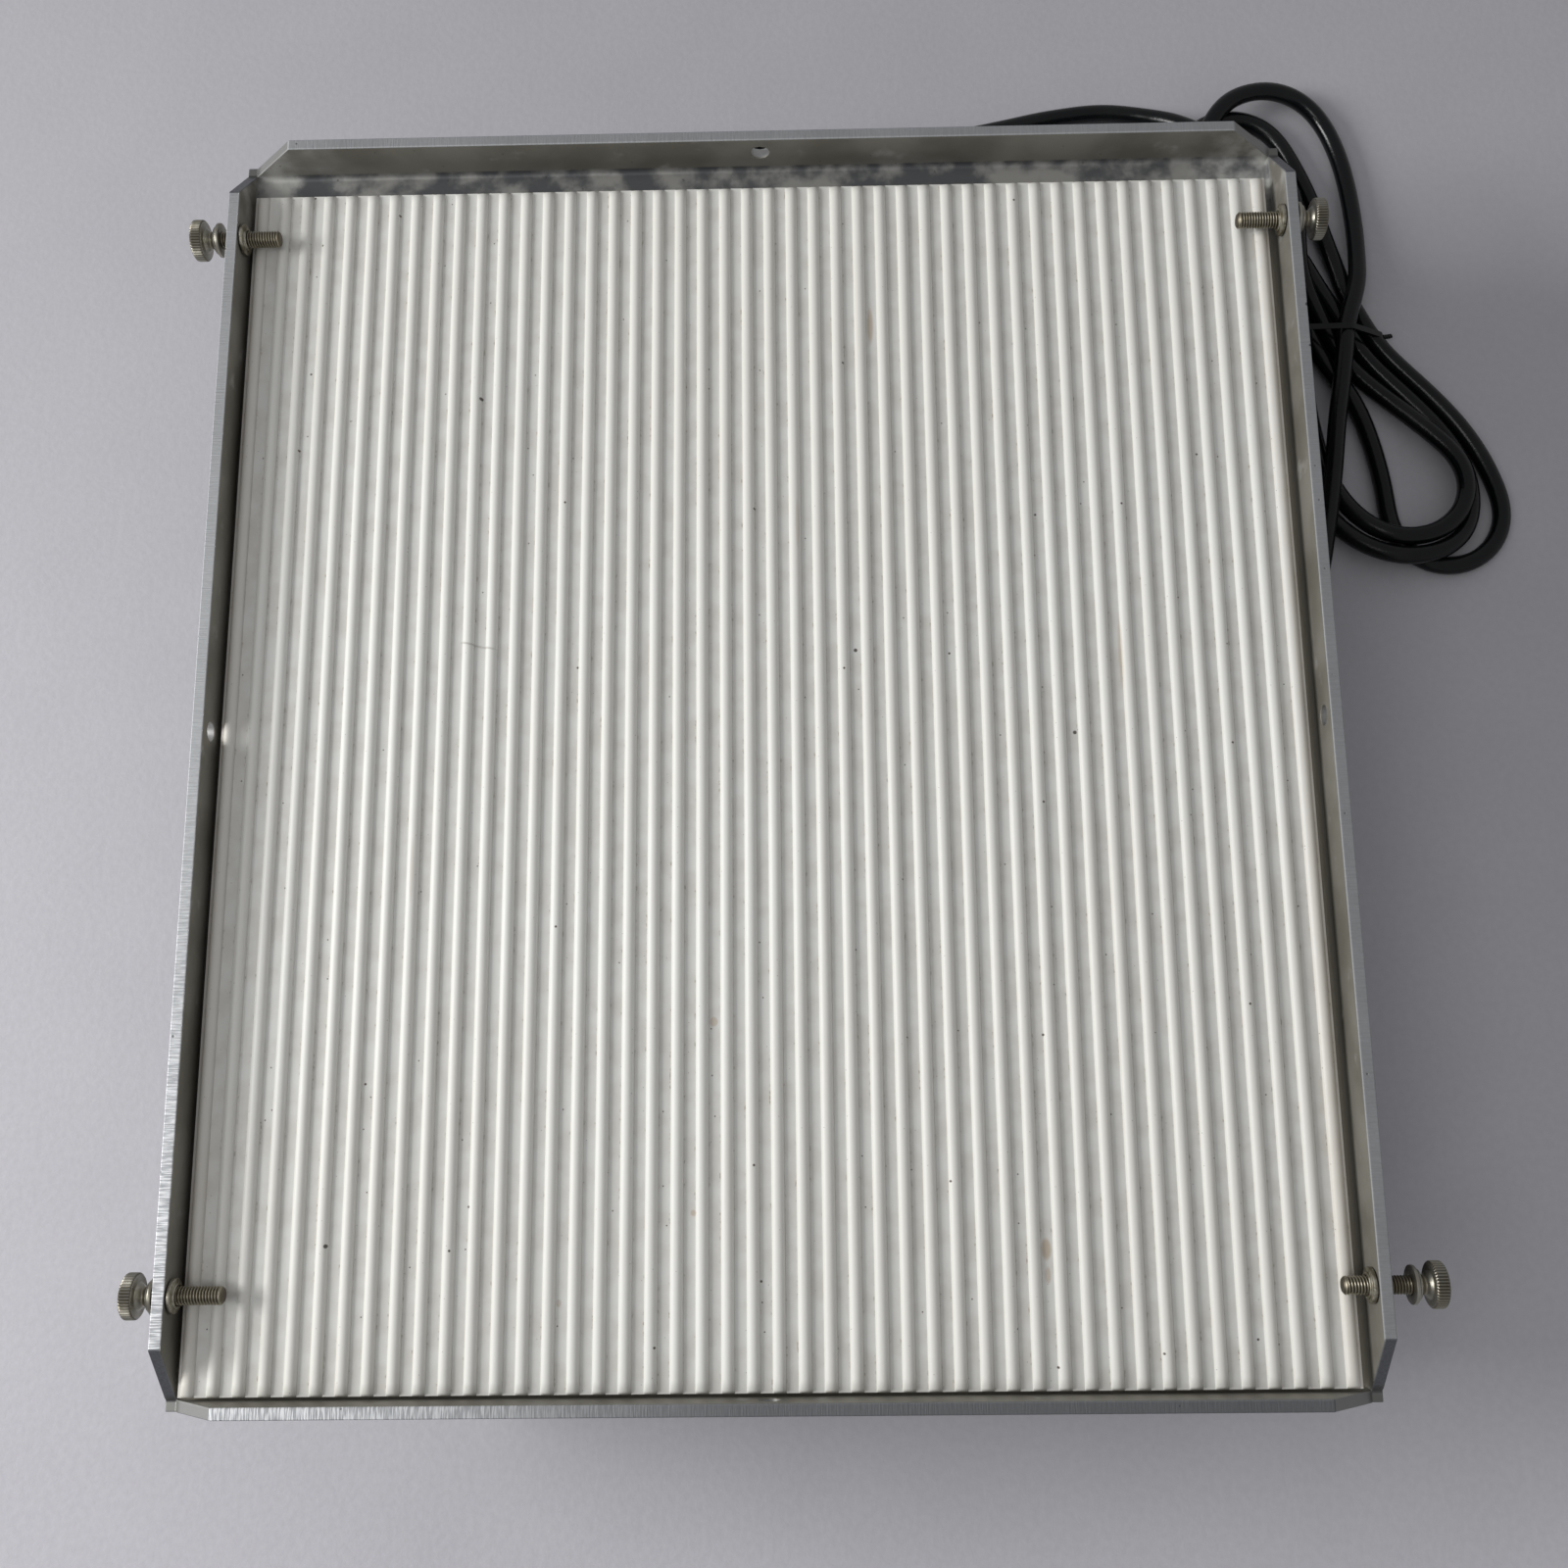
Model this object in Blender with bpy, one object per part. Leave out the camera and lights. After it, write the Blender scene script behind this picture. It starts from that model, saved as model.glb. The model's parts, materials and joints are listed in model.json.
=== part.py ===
"""A darkroom light table: a shallow aluminium tray with a loose ribbed diffuser, on a lamp housing.

Metres, +Z up. The origin lies on the table top under the middle of the tray, and the front faces -Y.
The mains lead leaves the back, and lies folded and tied beside the right rear corner.
"""

import math

import bmesh
import bpy
from mathutils import Matrix, Vector
from mathutils.geometry import convex_hull_2d

MM = 0.001

# Clearances
SEAT_GAP = 0.3 * MM  # between two pieces that rest on, or pass through, each other
SHANK_GAP = 0.18 * MM  # round a thumb screw's shank, in its washer and its nut

# Tray: one sheet with four flanges bent up, and slanting flange ends
TRAY_WIDTH = 317.5 * MM
TRAY_DEPTH = 363.7 * MM
TRAY_SHEET = 3.175 * MM
TRAY_FLANGE = 18.2 * MM  # from the underside of the floor to the rim
BEND_INSIDE = 1.6 * MM
BEND_STEPS = 4
CORNER_CUT_TOP = 17.0 * MM  # where the rim stops, from the outer corner
CORNER_CUT_LOW = 3.0 * MM  # where the slanting end stops, from the outer corner
LEDGE_PAST_LIP = 1.0 * MM  # the floor's window is this much smaller than the housing's mouth
SIDE_HOLE = 5.7 * MM
SIDE_HOLE_DROP = 6.5 * MM  # from the rim to the hole's middle

# Diffuser: ribbed opal sheet, smaller than the tray and pushed towards the front left
DIFFUSER_SHEET = 1.7 * MM
DIFFUSER_LEFT_GAP = 1.5 * MM
DIFFUSER_RIGHT_GAP = 3.15 * MM
DIFFUSER_FRONT_GAP = 1.0 * MM
DIFFUSER_BACK_GAP = 9.65 * MM
RIB_PITCH = 6.7 * MM
RIB_WIDTH = 3.5 * MM
RIB_HEIGHT = 1.4 * MM
RIB_EDGE = 1.9 * MM  # least distance from the sheet's edge to the first rib's middle
RIB_STEPS = 5

# Glass plate that carries the diffuser
GLASS_SHEET = 2.7 * MM
GLASS_SIDE_GAP = 9.6 * MM
GLASS_END_GAP = 14.6 * MM
GLASS_EDGE = 0.4 * MM

# Thumb screws, washers and clinch nuts in the left and right flanges
THREAD = 4.83 * MM
SCREW_DROP = 5.0 * MM  # from the rim to the screw's axis
SCREW_FROM_END = 30.05 * MM  # from the front or back of the tray
SHANK_LENGTH = 17.4 * MM
SHANK_CHAMFER = 0.6 * MM
WASHER_OUTSIDE = 10.0 * MM
WASHER_SHEET = 1.0 * MM
SHOULDER_RADIUS = 4.1 * MM
NECK_RADIUS = 2.4 * MM
NECK_LENGTH = 3.5 * MM
HEAD_DIAMETER = 12.0 * MM
HEAD_LENGTH = 3.5 * MM
HEAD_CHAMFER = 0.45 * MM
NUT_FLANGE = 9.2 * MM
NUT_FLANGE_SHEET = 1.1 * MM
NUT_STEP = 7.0 * MM
NUT_STEP_HEIGHT = 0.6 * MM
NUT_WALL = 0.75 * MM  # metal left round the thread in the sheet
# How far each screw is backed out: the gap from its washer to the flange
SCREW_BACKED_OUT = {
    "front_left": 0.3 * MM,
    "back_left": 2.65 * MM,
    "front_right": 6.2 * MM,
    "back_right": 0.3 * MM,
}
SCREW_SIDES = 20

# Lamp housing: folded sheet with its top and bottom edges turned in
TRAY_OVERHANG = 14.75 * MM
HOUSING_HEIGHT = 50.9 * MM
HOUSING_SHEET = 1.6 * MM
HOUSING_LIP = 12.0 * MM
VENT_LENGTH = 20.0 * MM
VENT_WIDTH = 2.4 * MM
VENT_PITCH = 30.0 * MM
VENT_ROWS = (11.0 * MM, 19.0 * MM)  # below the housing's top edge
VENT_SIDES = 8
VENT_MARGIN = 40.0 * MM  # kept free at each end of a wall

# Base plate, feet and their screws
BASE_SHEET = 2.0 * MM
FOOT_HEIGHT = 8.0 * MM
FOOT_TOP_RADIUS = 9.0 * MM
FOOT_BOTTOM_RADIUS = 7.5 * MM
FOOT_RECESS_RADIUS = 4.6 * MM
FOOT_WEB = 3.0 * MM  # rubber left under the screw's head
FOOT_INSET = 20.0 * MM  # from the housing's outside
SMALL_THREAD = 4.0 * MM
SMALL_HEAD = 7.6 * MM
SMALL_HEAD_HEIGHT = 2.2 * MM
SMALL_PAST = 2.0 * MM  # how far a small screw stands past what it is driven into
BASE_SCREW_Y = 80.0 * MM
TRAY_SCREW_Y = 120.0 * MM
COUNTERSINK = 8.0 * MM
COUNTERSINK_DEPTH = 2.2 * MM
SMALL_SIDES = 12

# Lamps, their holders and the reflector under them
LAMP_COUNT = 4
LAMP_PITCH = 64.0 * MM
LAMP_DIAMETER = 16.0 * MM
LAMP_CAP_LENGTH = 9.0 * MM
LAMP_CAP_STEP = 0.35 * MM  # the metal cap stands this proud of the glass
LAMP_SIDES = 16
PIN_SIDES = 8
PIN_DIAMETER = 2.35 * MM
PIN_LENGTH = 7.0 * MM
PIN_SPACING = 4.75 * MM
LAMP_ABOVE_REFLECTOR = 11.5 * MM  # from the reflector's floor to a lamp's axis
HOLDER_WIDTH = 17.0 * MM
HOLDER_THICK = 12.2 * MM
HOLDER_ABOVE_AXIS = 9.2 * MM
HOLDER_FROM_WALL = 9.0 * MM
REFLECTOR_SHEET = 0.8 * MM
REFLECTOR_LIFT = 25.2 * MM  # above the base plate
REFLECTOR_SLOPE = 24.0 * MM  # how far its long sides lean outwards
REFLECTOR_DROP = 3.0 * MM  # its rim, below the tips of the screws in the housing's upper lip

# Wiring bay under the reflector
BALLAST_SIZE = Vector((38.0, 150.0, 21.0)) * MM
BALLAST_X = 62.0 * MM
BALLAST_EDGE = 1.5 * MM
BALLAST_TAB = Vector((30.0, 12.0, 1.5)) * MM  # its width, how far it sticks out, and its sheet
TERMINAL_SIZE = Vector((32.0, 20.0, 16.0)) * MM
TERMINAL_FROM_BACK = 44.0 * MM
TERMINAL_WELLS = 3
TERMINAL_WELL = 5.0 * MM
TERMINAL_WELL_DEPTH = 5.0 * MM

# Rocker switch in the front wall
SWITCH_X = 95.0 * MM
SWITCH_RISE = 14.0 * MM  # its middle, above the housing's bottom edge
SWITCH_BODY = Vector((20.8, 17.0, 14.4)) * MM
SWITCH_BEZEL = Vector((24.0, 2.0, 17.5)) * MM
SWITCH_POCKET = Vector((18.4, 9.0, 11.4)) * MM
SWITCH_TILT = math.radians(9.0)
ROCKER_LENGTH = 16.6 * MM
ROCKER_FRONT = 3.4 * MM  # from the pivot to the ends of the face
ROCKER_HOLLOW = 1.3 * MM  # how much the middle of the face lies deeper
ROCKER_BACK = 3.2 * MM
PIVOT_RADIUS = 1.2 * MM
PIVOT_REACH = 0.8 * MM  # how far each end of the pivot goes into the body

# Strain relief and mains lead
CORD_DIAMETER = 6.0 * MM
CORD_X = -60.0 * MM
CORD_RISE = 9.4 * MM  # from the housing's bottom edge to the lead's middle
RELIEF_NECK = 12.0 * MM
RELIEF_FLANGE = 17.0 * MM
RELIEF_FLANGE_LENGTH = 2.6 * MM
RELIEF_ROOT = 11.6 * MM
RELIEF_TIP = 7.4 * MM
RELIEF_LENGTH = 25.7 * MM  # outside the wall
RELIEF_INSIDE = 6.0 * MM
INNER_LEAD_SAG = 1.5 * MM
CORD_STEP = 12.0 * MM
CORD_SIDES_RESOLUTION = 2

# The lead's route on the table, in millimetres: from the relief to the hank, and from it to the plug
LEAD_ROUTE = [
    (-60, 193.3, 20), (-60, 199, 19.8), (-60, 207, 17.8), (-58, 216.5, 12.5), (-51, 225.5, 6.5),
    (-39, 230, 3.4), (-22, 230.5, 3.1), (-2, 228.5, 3.1), (20, 226, 3.1), (42, 226, 3.1),
    (62, 228.5, 3.1), (82, 232.5, 3.1), (100, 236.3, 3.1), (118, 238.2, 3.1), (132, 236, 4),
    (143.5, 229.9, 8.6),
]
TAIL_ROUTE = [
    (181.7, 71.1, 6.8), (179.8, 61, 4.2), (175.5, 44, 3.1), (170.5, 24, 3.1), (166.5, 2, 3.1),
    (164, -22, 3.1), (163, -44, 3.1), (163, -57, 4.2), (163, -70, 8), (163, -83, 11.9),
    (163, -98, 12.6),
]
# The hank's two lobes, each round three circles of (x, y, radius), in millimetres, and its tied waist
HANK_UPPER = [(162.5, 217.5, 21.5), (180, 222, 25), (191, 158, 15)]
HANK_LOWER = [(222, 88, 24), (196, 92, 24), (191, 142, 15)]
HANK_WAIST = [(191, 158, 15), (191, 142, 15)]
HANK_BOTTOM = 0.1 * MM
HANK_UPPER_TOP = 18.2 * MM
HANK_LOWER_TOP = 12.6 * MM
WAIST_BOTTOM = 1.3 * MM
WAIST_TOP = 13.4 * MM
TIE_MIDDLE = Vector((191.0, 150.0)) * MM
TIE_WIDTH = 3.0 * MM
TIE_SHEET = 0.8 * MM
TIE_END = Vector((4.5, 2.4, 2.0)) * MM  # the twisted end, on the right
WAIST_HALF = 15.0 * MM

# Plug on the lead's far end
PLUG_BOOT = 20.0 * MM
PLUG_BOOT_RADII = (4.2 * MM, 5.6 * MM)
PLUG_BODY = 32.0 * MM
PLUG_RADIUS = 12.5 * MM
PLUG_ROUNDING = 2.0 * MM
BLADE = Vector((1.5, 17.5, 6.3)) * MM
BLADE_SPACING = 12.7 * MM
EARTH_PIN = 4.8 * MM
EARTH_PIN_LENGTH = 20.0 * MM
EARTH_PIN_OFFSET = 7.5 * MM
BLADE_OFFSET = -4.0 * MM

# Levels and sizes that follow from the ones above
base_bottom = FOOT_HEIGHT + SEAT_GAP
base_top = base_bottom + BASE_SHEET
housing_bottom = base_top + SEAT_GAP
housing_top = housing_bottom + HOUSING_HEIGHT
tray_bottom = housing_top + SEAT_GAP
floor_top = tray_bottom + TRAY_SHEET
rim = tray_bottom + TRAY_FLANGE
glass_bottom = floor_top + SEAT_GAP
diffuser_bottom = glass_bottom + GLASS_SHEET + SEAT_GAP
tray_inner_x = TRAY_WIDTH / 2 - TRAY_SHEET
tray_inner_y = TRAY_DEPTH / 2 - TRAY_SHEET
housing_x = TRAY_WIDTH / 2 - TRAY_OVERHANG
housing_y = TRAY_DEPTH / 2 - TRAY_OVERHANG
housing_inner_x = housing_x - HOUSING_SHEET
housing_inner_y = housing_y - HOUSING_SHEET
lip_middle_x = housing_x - HOUSING_LIP / 2
reflector_bottom = base_top + REFLECTOR_LIFT
reflector_floor = reflector_bottom + REFLECTOR_SHEET
lamp_axis = reflector_floor + LAMP_ABOVE_REFLECTOR
holder_face_y = housing_inner_y - HOLDER_FROM_WALL - HOLDER_THICK
lamp_length = 2 * (holder_face_y - SEAT_GAP)
screw_axis = rim - SCREW_DROP
screw_y = TRAY_DEPTH / 2 - SCREW_FROM_END
shank_bore = THREAD / 2 + SHANK_GAP
nut_barrel = shank_bore + NUT_WALL
cord_level = housing_bottom + CORD_RISE
terminal_back = housing_inner_y - TERMINAL_FROM_BACK
front_lip = HOUSING_LIP - housing_y
ballast_y = (front_lip + terminal_back - TERMINAL_SIZE.y) / 2


def finish(name, colour, roughness, metallic=0.0, transmission=0.0):
    """A Principled material."""
    made = bpy.data.materials.new(name)
    made.use_nodes = True
    shader = made.node_tree.nodes["Principled BSDF"]
    shader.inputs["Base Color"].default_value = (*colour, 1.0)
    shader.inputs["Roughness"].default_value = roughness
    shader.inputs["Metallic"].default_value = metallic
    shader.inputs["Transmission Weight"].default_value = transmission
    made.diffuse_color = (*colour, 1.0)
    return made


def mesh_of(bm, material):
    """A mesh from a bmesh, with its round sides shaded smooth."""
    mesh = bpy.data.meshes.new("shape")
    bm.to_mesh(mesh)
    bm.free()
    mesh.shade_smooth()
    mesh.set_sharp_from_angle(angle=math.radians(35))
    mesh.materials.append(material)
    return mesh


def place(name, mesh, at=(0, 0, 0), turn=(0, 0, 0)):
    """A named piece that shows a mesh, which may be shared with other pieces."""
    piece = bpy.data.objects.new(name, mesh)
    bpy.context.scene.collection.objects.link(piece)
    piece.location = at
    piece.rotation_euler = turn
    piece.parent = frame
    return piece


def worked(piece):
    """The mesh of a piece with its modifiers worked in. The piece itself is taken away."""
    graph = bpy.context.evaluated_depsgraph_get()
    mesh = bpy.data.meshes.new_from_object(piece.evaluated_get(graph))
    bpy.data.objects.remove(piece)
    return mesh


def tool(name, bm, at=(0, 0, 0), turn=(0, 0, 0)):
    """A hidden object that a Boolean reads."""
    mesh = bpy.data.meshes.new(name)
    bm.to_mesh(mesh)
    bm.free()
    made = place(name, mesh, at, turn)
    made.hide_render = True
    made.display_type = "WIRE"
    return made


def combine(piece, other, operation):
    change = piece.modifiers.new(other.name, "BOOLEAN")
    change.operation = operation
    change.object = other
    change.solver = "EXACT"


def closed(bm):
    bmesh.ops.remove_doubles(bm, verts=bm.verts, dist=1e-7)
    bmesh.ops.recalc_face_normals(bm, faces=bm.faces)
    return bm


def add_block(bm, middle, size):
    to_place = Matrix.Translation(middle) @ Matrix.Diagonal((*size, 1.0))
    bmesh.ops.create_cube(bm, size=1.0, matrix=to_place)


def add_rod(bm, middle, axis, radius, length, sides):
    turn = Vector(axis).to_track_quat("Z", "Y").to_matrix().to_4x4()
    bmesh.ops.create_cone(
        bm,
        cap_ends=True,
        segments=sides,
        radius1=radius,
        radius2=radius,
        depth=length,
        matrix=Matrix.Translation(middle) @ turn,
    )


def turned(profile, sides, ring=False):
    """A solid turned about X from (along, radius) points, which run pole to pole or round a ring."""
    bm = bmesh.new()
    points = [bm.verts.new((along, radius, 0)) for along, radius in profile]
    chain = points + points[:1] if ring else points
    edges = [bm.edges.new(pair) for pair in zip(chain, chain[1:])]
    bmesh.ops.spin(
        bm,
        geom=points + edges,
        cent=(0, 0, 0),
        axis=(1, 0, 0),
        angle=math.tau,
        steps=sides,
        use_merge=True,
    )
    bmesh.ops.remove_doubles(bm, verts=bm.verts, dist=1e-6)
    bmesh.ops.recalc_face_normals(bm, faces=bm.faces)
    return bm


def square_ring(profile, half_x, half_y):
    """A mitred ring round a rectangle, from closed (inset, height) points."""
    bm = bmesh.new()
    loops = []
    for inset, height in profile:
        x, y = half_x - inset, half_y - inset
        corners = ((x, y), (-x, y), (-x, -y), (x, -y))
        loops.append([bm.verts.new((a, b, height)) for a, b in corners])
    for low, high in zip(loops, loops[1:] + loops[:1]):
        for i in range(4):
            j = (i + 1) % 4
            bm.faces.new((low[i], low[j], high[j], high[i]))
    return closed(bm)


def extruded(outline, run):
    """A solid from a flat outline, pushed along run."""
    bm = bmesh.new()
    face = bm.faces.new([bm.verts.new(point) for point in outline])
    pushed = bmesh.ops.extrude_face_region(bm, geom=[face])["geom"]
    moved = [item for item in pushed if isinstance(item, bmesh.types.BMVert)]
    bmesh.ops.translate(bm, verts=moved, vec=run)
    return closed(bm)


def band_outline(circles, sides):
    """The outline of a band stretched round circles of (x, y, radius)."""
    points = []
    for x, y, radius in circles:
        for i in range(sides):
            angle = i / sides * math.tau
            points.append(Vector((x + radius * math.cos(angle), y + radius * math.sin(angle))))
    return [points[i] for i in convex_hull_2d(points)]


def lobe(circles, bottom, top):
    """An upright solid inside a band round circles that are given in millimetres."""
    outline = [point * MM for point in band_outline(circles, 32)]
    return extruded([(*point, bottom) for point in outline], (0, 0, top - bottom))


def add_solid(bm, other):
    """Puts a second bmesh's faces into the first one."""
    mesh = bpy.data.meshes.new("added")
    other.to_mesh(mesh)
    other.free()
    bm.from_mesh(mesh)
    bpy.data.meshes.remove(mesh)


def smooth_route(route, step):
    """Points about a step apart on a smooth curve through the route's own points."""
    given = [Vector(point) * MM for point in route]
    given = [2 * given[0] - given[1], *given, 2 * given[-1] - given[-2]]
    fine = []
    for before, start, end, after in zip(given, given[1:], given[2:], given[3:]):
        for part in range(10):
            t = part / 10
            fine.append(
                0.5
                * (
                    2 * start
                    + (end - before) * t
                    + (2 * before - 5 * start + 4 * end - after) * t * t
                    + (3 * start - before - 3 * end + after) * t * t * t
                )
            )
    fine.append(given[-2])
    lengths = [0.0]
    for here, there in zip(fine, fine[1:]):
        lengths.append(lengths[-1] + (there - here).length)
    count = max(2, round(lengths[-1] / step))
    points = []
    index = 0
    for number in range(count + 1):
        goal = lengths[-1] * number / count
        while index < len(fine) - 2 and lengths[index + 1] < goal:
            index += 1
        share = (goal - lengths[index]) / (lengths[index + 1] - lengths[index])
        points.append(fine[index].lerp(fine[index + 1], min(share, 1.0)))
    return points


def tube(name, points, diameter, material):
    """A round lead along the points, with its ends closed."""
    curve = bpy.data.curves.new(name, "CURVE")
    curve.dimensions = "3D"
    curve.bevel_depth = diameter / 2
    curve.bevel_resolution = CORD_SIDES_RESOLUTION
    curve.use_fill_caps = True
    spline = curve.splines.new("POLY")
    spline.points.add(len(points) - 1)
    for target, point in zip(spline.points, points):
        target.co = (*point, 1.0)
    curve.materials.append(material)
    return place(name, curve)


def make_tray():
    """Bent sheet: floor ledge, four flanges with slanting ends, and its holes."""
    bend = TRAY_SHEET + BEND_INSIDE
    steps = [i / BEND_STEPS * math.pi / 2 for i in range(BEND_STEPS + 1)]
    window = TRAY_OVERHANG + HOUSING_LIP + LEDGE_PAST_LIP
    inside = [(bend - BEND_INSIDE * math.sin(a), bend - BEND_INSIDE * math.cos(a)) for a in steps]
    outside = [(bend - bend * math.sin(a), bend - bend * math.cos(a)) for a in reversed(steps)]
    profile = [(window, TRAY_SHEET), *inside, (TRAY_SHEET, TRAY_FLANGE)]
    profile += [(0.0, TRAY_FLANGE), *outside, (window, 0.0)]
    shell = square_ring(profile, TRAY_WIDTH / 2, TRAY_DEPTH / 2)
    tray = place("tray", mesh_of(shell, aluminium), (0, 0, tray_bottom))

    corners = bmesh.new()
    spare = 2 * MM  # how far the cutters stand out of the metal
    low = CORNER_CUT_TOP - CORNER_CUT_LOW
    for sx in (-1, 1):
        for sy in (-1, 1):
            corner = Vector((sx * TRAY_WIDTH / 2, sy * TRAY_DEPTH / 2, TRAY_FLANGE))
            levels = ((-low, CORNER_CUT_LOW), (spare, CORNER_CUT_TOP + spare))
            points = []
            for height, reach in levels:
                for a in (-spare, reach):
                    for b in (-spare, reach):
                        points.append(corners.verts.new(corner + Vector((-sx * a, -sy * b, height))))
            bmesh.ops.convex_hull(corners, input=points)
    combine(tray, tool("tray_corner_tool", closed(corners), tray.location), "DIFFERENCE")

    holes = bmesh.new()
    side_level = rim - SIDE_HOLE_DROP
    through = 4 * TRAY_SHEET
    for side in (-1, 1):
        x, y = side * TRAY_WIDTH / 2, side * TRAY_DEPTH / 2
        add_rod(holes, (x, 0, side_level), (1, 0, 0), SIDE_HOLE / 2, through, SMALL_SIDES)
        add_rod(holes, (0, y, side_level), (0, 1, 0), SIDE_HOLE / 2, through, SMALL_SIDES)
        for end in (-1, 1):
            nut = (x, end * screw_y, screw_axis)
            add_rod(holes, nut, (1, 0, 0), nut_barrel + SEAT_GAP, through, SCREW_SIDES)
            add_countersunk_hole(holes, side * lip_middle_x, end * TRAY_SCREW_Y)
    combine(tray, tool("tray_hole_tool", closed(holes)), "DIFFERENCE")


def countersunk(grow, bottom, top):
    """Half the outline of a countersunk screw, or of its hole where grow is more than 0."""
    under = top - COUNTERSINK_DEPTH
    return [
        (bottom, 0.0),
        (bottom, SMALL_THREAD / 2 + grow),
        (under, SMALL_THREAD / 2 + grow),
        (top, COUNTERSINK / 2 + grow),
        (top, 0.0),
    ]


def add_countersunk_hole(bm, x, y):
    """A hole that flares upwards, through the tray's floor."""
    spare = 1 * MM
    outline = countersunk(SEAT_GAP, tray_bottom - spare, floor_top)
    top = [(floor_top + spare, outline[-2][1]), (floor_top + spare, 0.0)]
    hole = turned(outline[:-1] + top, SMALL_SIDES)
    stand_up(hole, x, y)
    add_solid(bm, hole)


def stand_up(bm, x, y):
    """Turns a solid made along X to stand along +Z, over (x, y)."""
    up = Matrix(((0, 0, -1, x), (0, 1, 0, y), (1, 0, 0, 0), (0, 0, 0, 1)))
    bmesh.ops.transform(bm, matrix=up, verts=bm.verts)
    bmesh.ops.recalc_face_normals(bm, faces=bm.faces)


def make_diffuser():
    """Flat sheet with half-round ribs from front to back, on its own origin."""
    left = -tray_inner_x + DIFFUSER_LEFT_GAP
    right = tray_inner_x - DIFFUSER_RIGHT_GAP
    front = -tray_inner_y + DIFFUSER_FRONT_GAP
    back = tray_inner_y - DIFFUSER_BACK_GAP
    width = right - left
    ribs = int((width - 2 * RIB_EDGE) / RIB_PITCH) + 1
    radius = ((RIB_WIDTH / 2) ** 2 + RIB_HEIGHT**2) / (2 * RIB_HEIGHT)
    half_angle = math.asin(RIB_WIDTH / 2 / radius)
    outline = [(-width / 2, 0.0), (width / 2, 0.0), (width / 2, DIFFUSER_SHEET)]
    for rib in reversed(range(ribs)):
        middle = (rib - (ribs - 1) / 2) * RIB_PITCH
        for step in range(RIB_STEPS + 1):
            angle = half_angle * (1 - 2 * step / RIB_STEPS)
            rise = radius * math.cos(angle) - radius + RIB_HEIGHT
            outline.append((middle + radius * math.sin(angle), DIFFUSER_SHEET + rise))
    outline.append((-width / 2, DIFFUSER_SHEET))
    depth = back - front
    section = [(x, -depth / 2, z) for x, z in outline]
    middle = ((left + right) / 2, (front + back) / 2, diffuser_bottom)
    place("ribbed_diffuser", mesh_of(extruded(section, (0, depth, 0)), opal), middle)


def make_glass():
    """Clear plate on the tray's ledge, with its edges ground off."""
    plate = bmesh.new()
    size = (
        2 * (tray_inner_x - GLASS_SIDE_GAP),
        2 * (tray_inner_y - GLASS_END_GAP),
        GLASS_SHEET,
    )
    add_block(plate, (0, 0, GLASS_SHEET / 2), size)
    bmesh.ops.bevel(plate, geom=plate.edges, offset=GLASS_EDGE, segments=1, affect="EDGES")
    place("glass_plate", mesh_of(plate, clear_glass), (0, 0, glass_bottom))


def thumb_screw_outline():
    """Tip, thread, shoulder, hollow neck and head, along X from the flange-side face of the washer."""
    shank = THREAD / 2
    shoulder = WASHER_SHEET + SEAT_GAP
    head = shoulder + NECK_LENGTH
    end = head + HEAD_LENGTH
    hollow = [
        (shoulder, SHOULDER_RADIUS),
        (shoulder + 0.12 * NECK_LENGTH, SHOULDER_RADIUS),
        (shoulder + 0.35 * NECK_LENGTH, 0.4 * SHOULDER_RADIUS + 0.6 * NECK_RADIUS),
        (shoulder + 0.55 * NECK_LENGTH, NECK_RADIUS),
        (shoulder + 0.8 * NECK_LENGTH, 0.3 * SHOULDER_RADIUS + 0.7 * NECK_RADIUS),
        (head, SHOULDER_RADIUS),
    ]
    return [
        (-SHANK_LENGTH, 0.0),
        (-SHANK_LENGTH, shank - SHANK_CHAMFER),
        (-SHANK_LENGTH + SHANK_CHAMFER, shank),
        (shoulder, shank),
        *hollow,
        (head, HEAD_DIAMETER / 2 - HEAD_CHAMFER),
        (head + HEAD_CHAMFER, HEAD_DIAMETER / 2),
        (end - HEAD_CHAMFER, HEAD_DIAMETER / 2),
        (end, HEAD_DIAMETER / 2 - HEAD_CHAMFER),
        (end, 0.0),
    ]


def make_thumb_screws():
    """A clinch nut in the flange, a washer and a screw, at each of four places."""
    barrel = TRAY_SHEET - SEAT_GAP
    flange = SEAT_GAP + NUT_FLANGE_SHEET
    step = flange + NUT_STEP_HEIGHT
    nut = [
        (-step, shank_bore),
        (barrel, shank_bore),
        (barrel, nut_barrel),
        (-SEAT_GAP, nut_barrel),
        (-SEAT_GAP, NUT_FLANGE / 2),
        (-flange, NUT_FLANGE / 2),
        (-flange, NUT_STEP / 2),
        (-step, NUT_STEP / 2),
    ]
    washer = [
        (0.0, shank_bore),
        (WASHER_SHEET, shank_bore),
        (WASHER_SHEET, WASHER_OUTSIDE / 2),
        (0.0, WASHER_OUTSIDE / 2),
    ]
    nut_mesh = mesh_of(turned(nut, SCREW_SIDES, ring=True), tarnished)
    washer_mesh = mesh_of(turned(washer, SCREW_SIDES, ring=True), nickel)
    screw_mesh = mesh_of(turned(thumb_screw_outline(), SCREW_SIDES), nickel)
    for where, backed_out in SCREW_BACKED_OUT.items():
        side = 1 if where.endswith("right") else -1
        end = 1 if where.startswith("back") else -1
        turn = (0, 0, 0 if side > 0 else math.pi)
        inner = (side * tray_inner_x, end * screw_y, screw_axis)
        outer = (side * (TRAY_WIDTH / 2 + backed_out), end * screw_y, screw_axis)
        place("clinch_nut_" + where, nut_mesh, inner, turn)
        place("screw_washer_" + where, washer_mesh, outer, turn)
        place("thumb_screw_" + where, screw_mesh, outer, turn)


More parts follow.
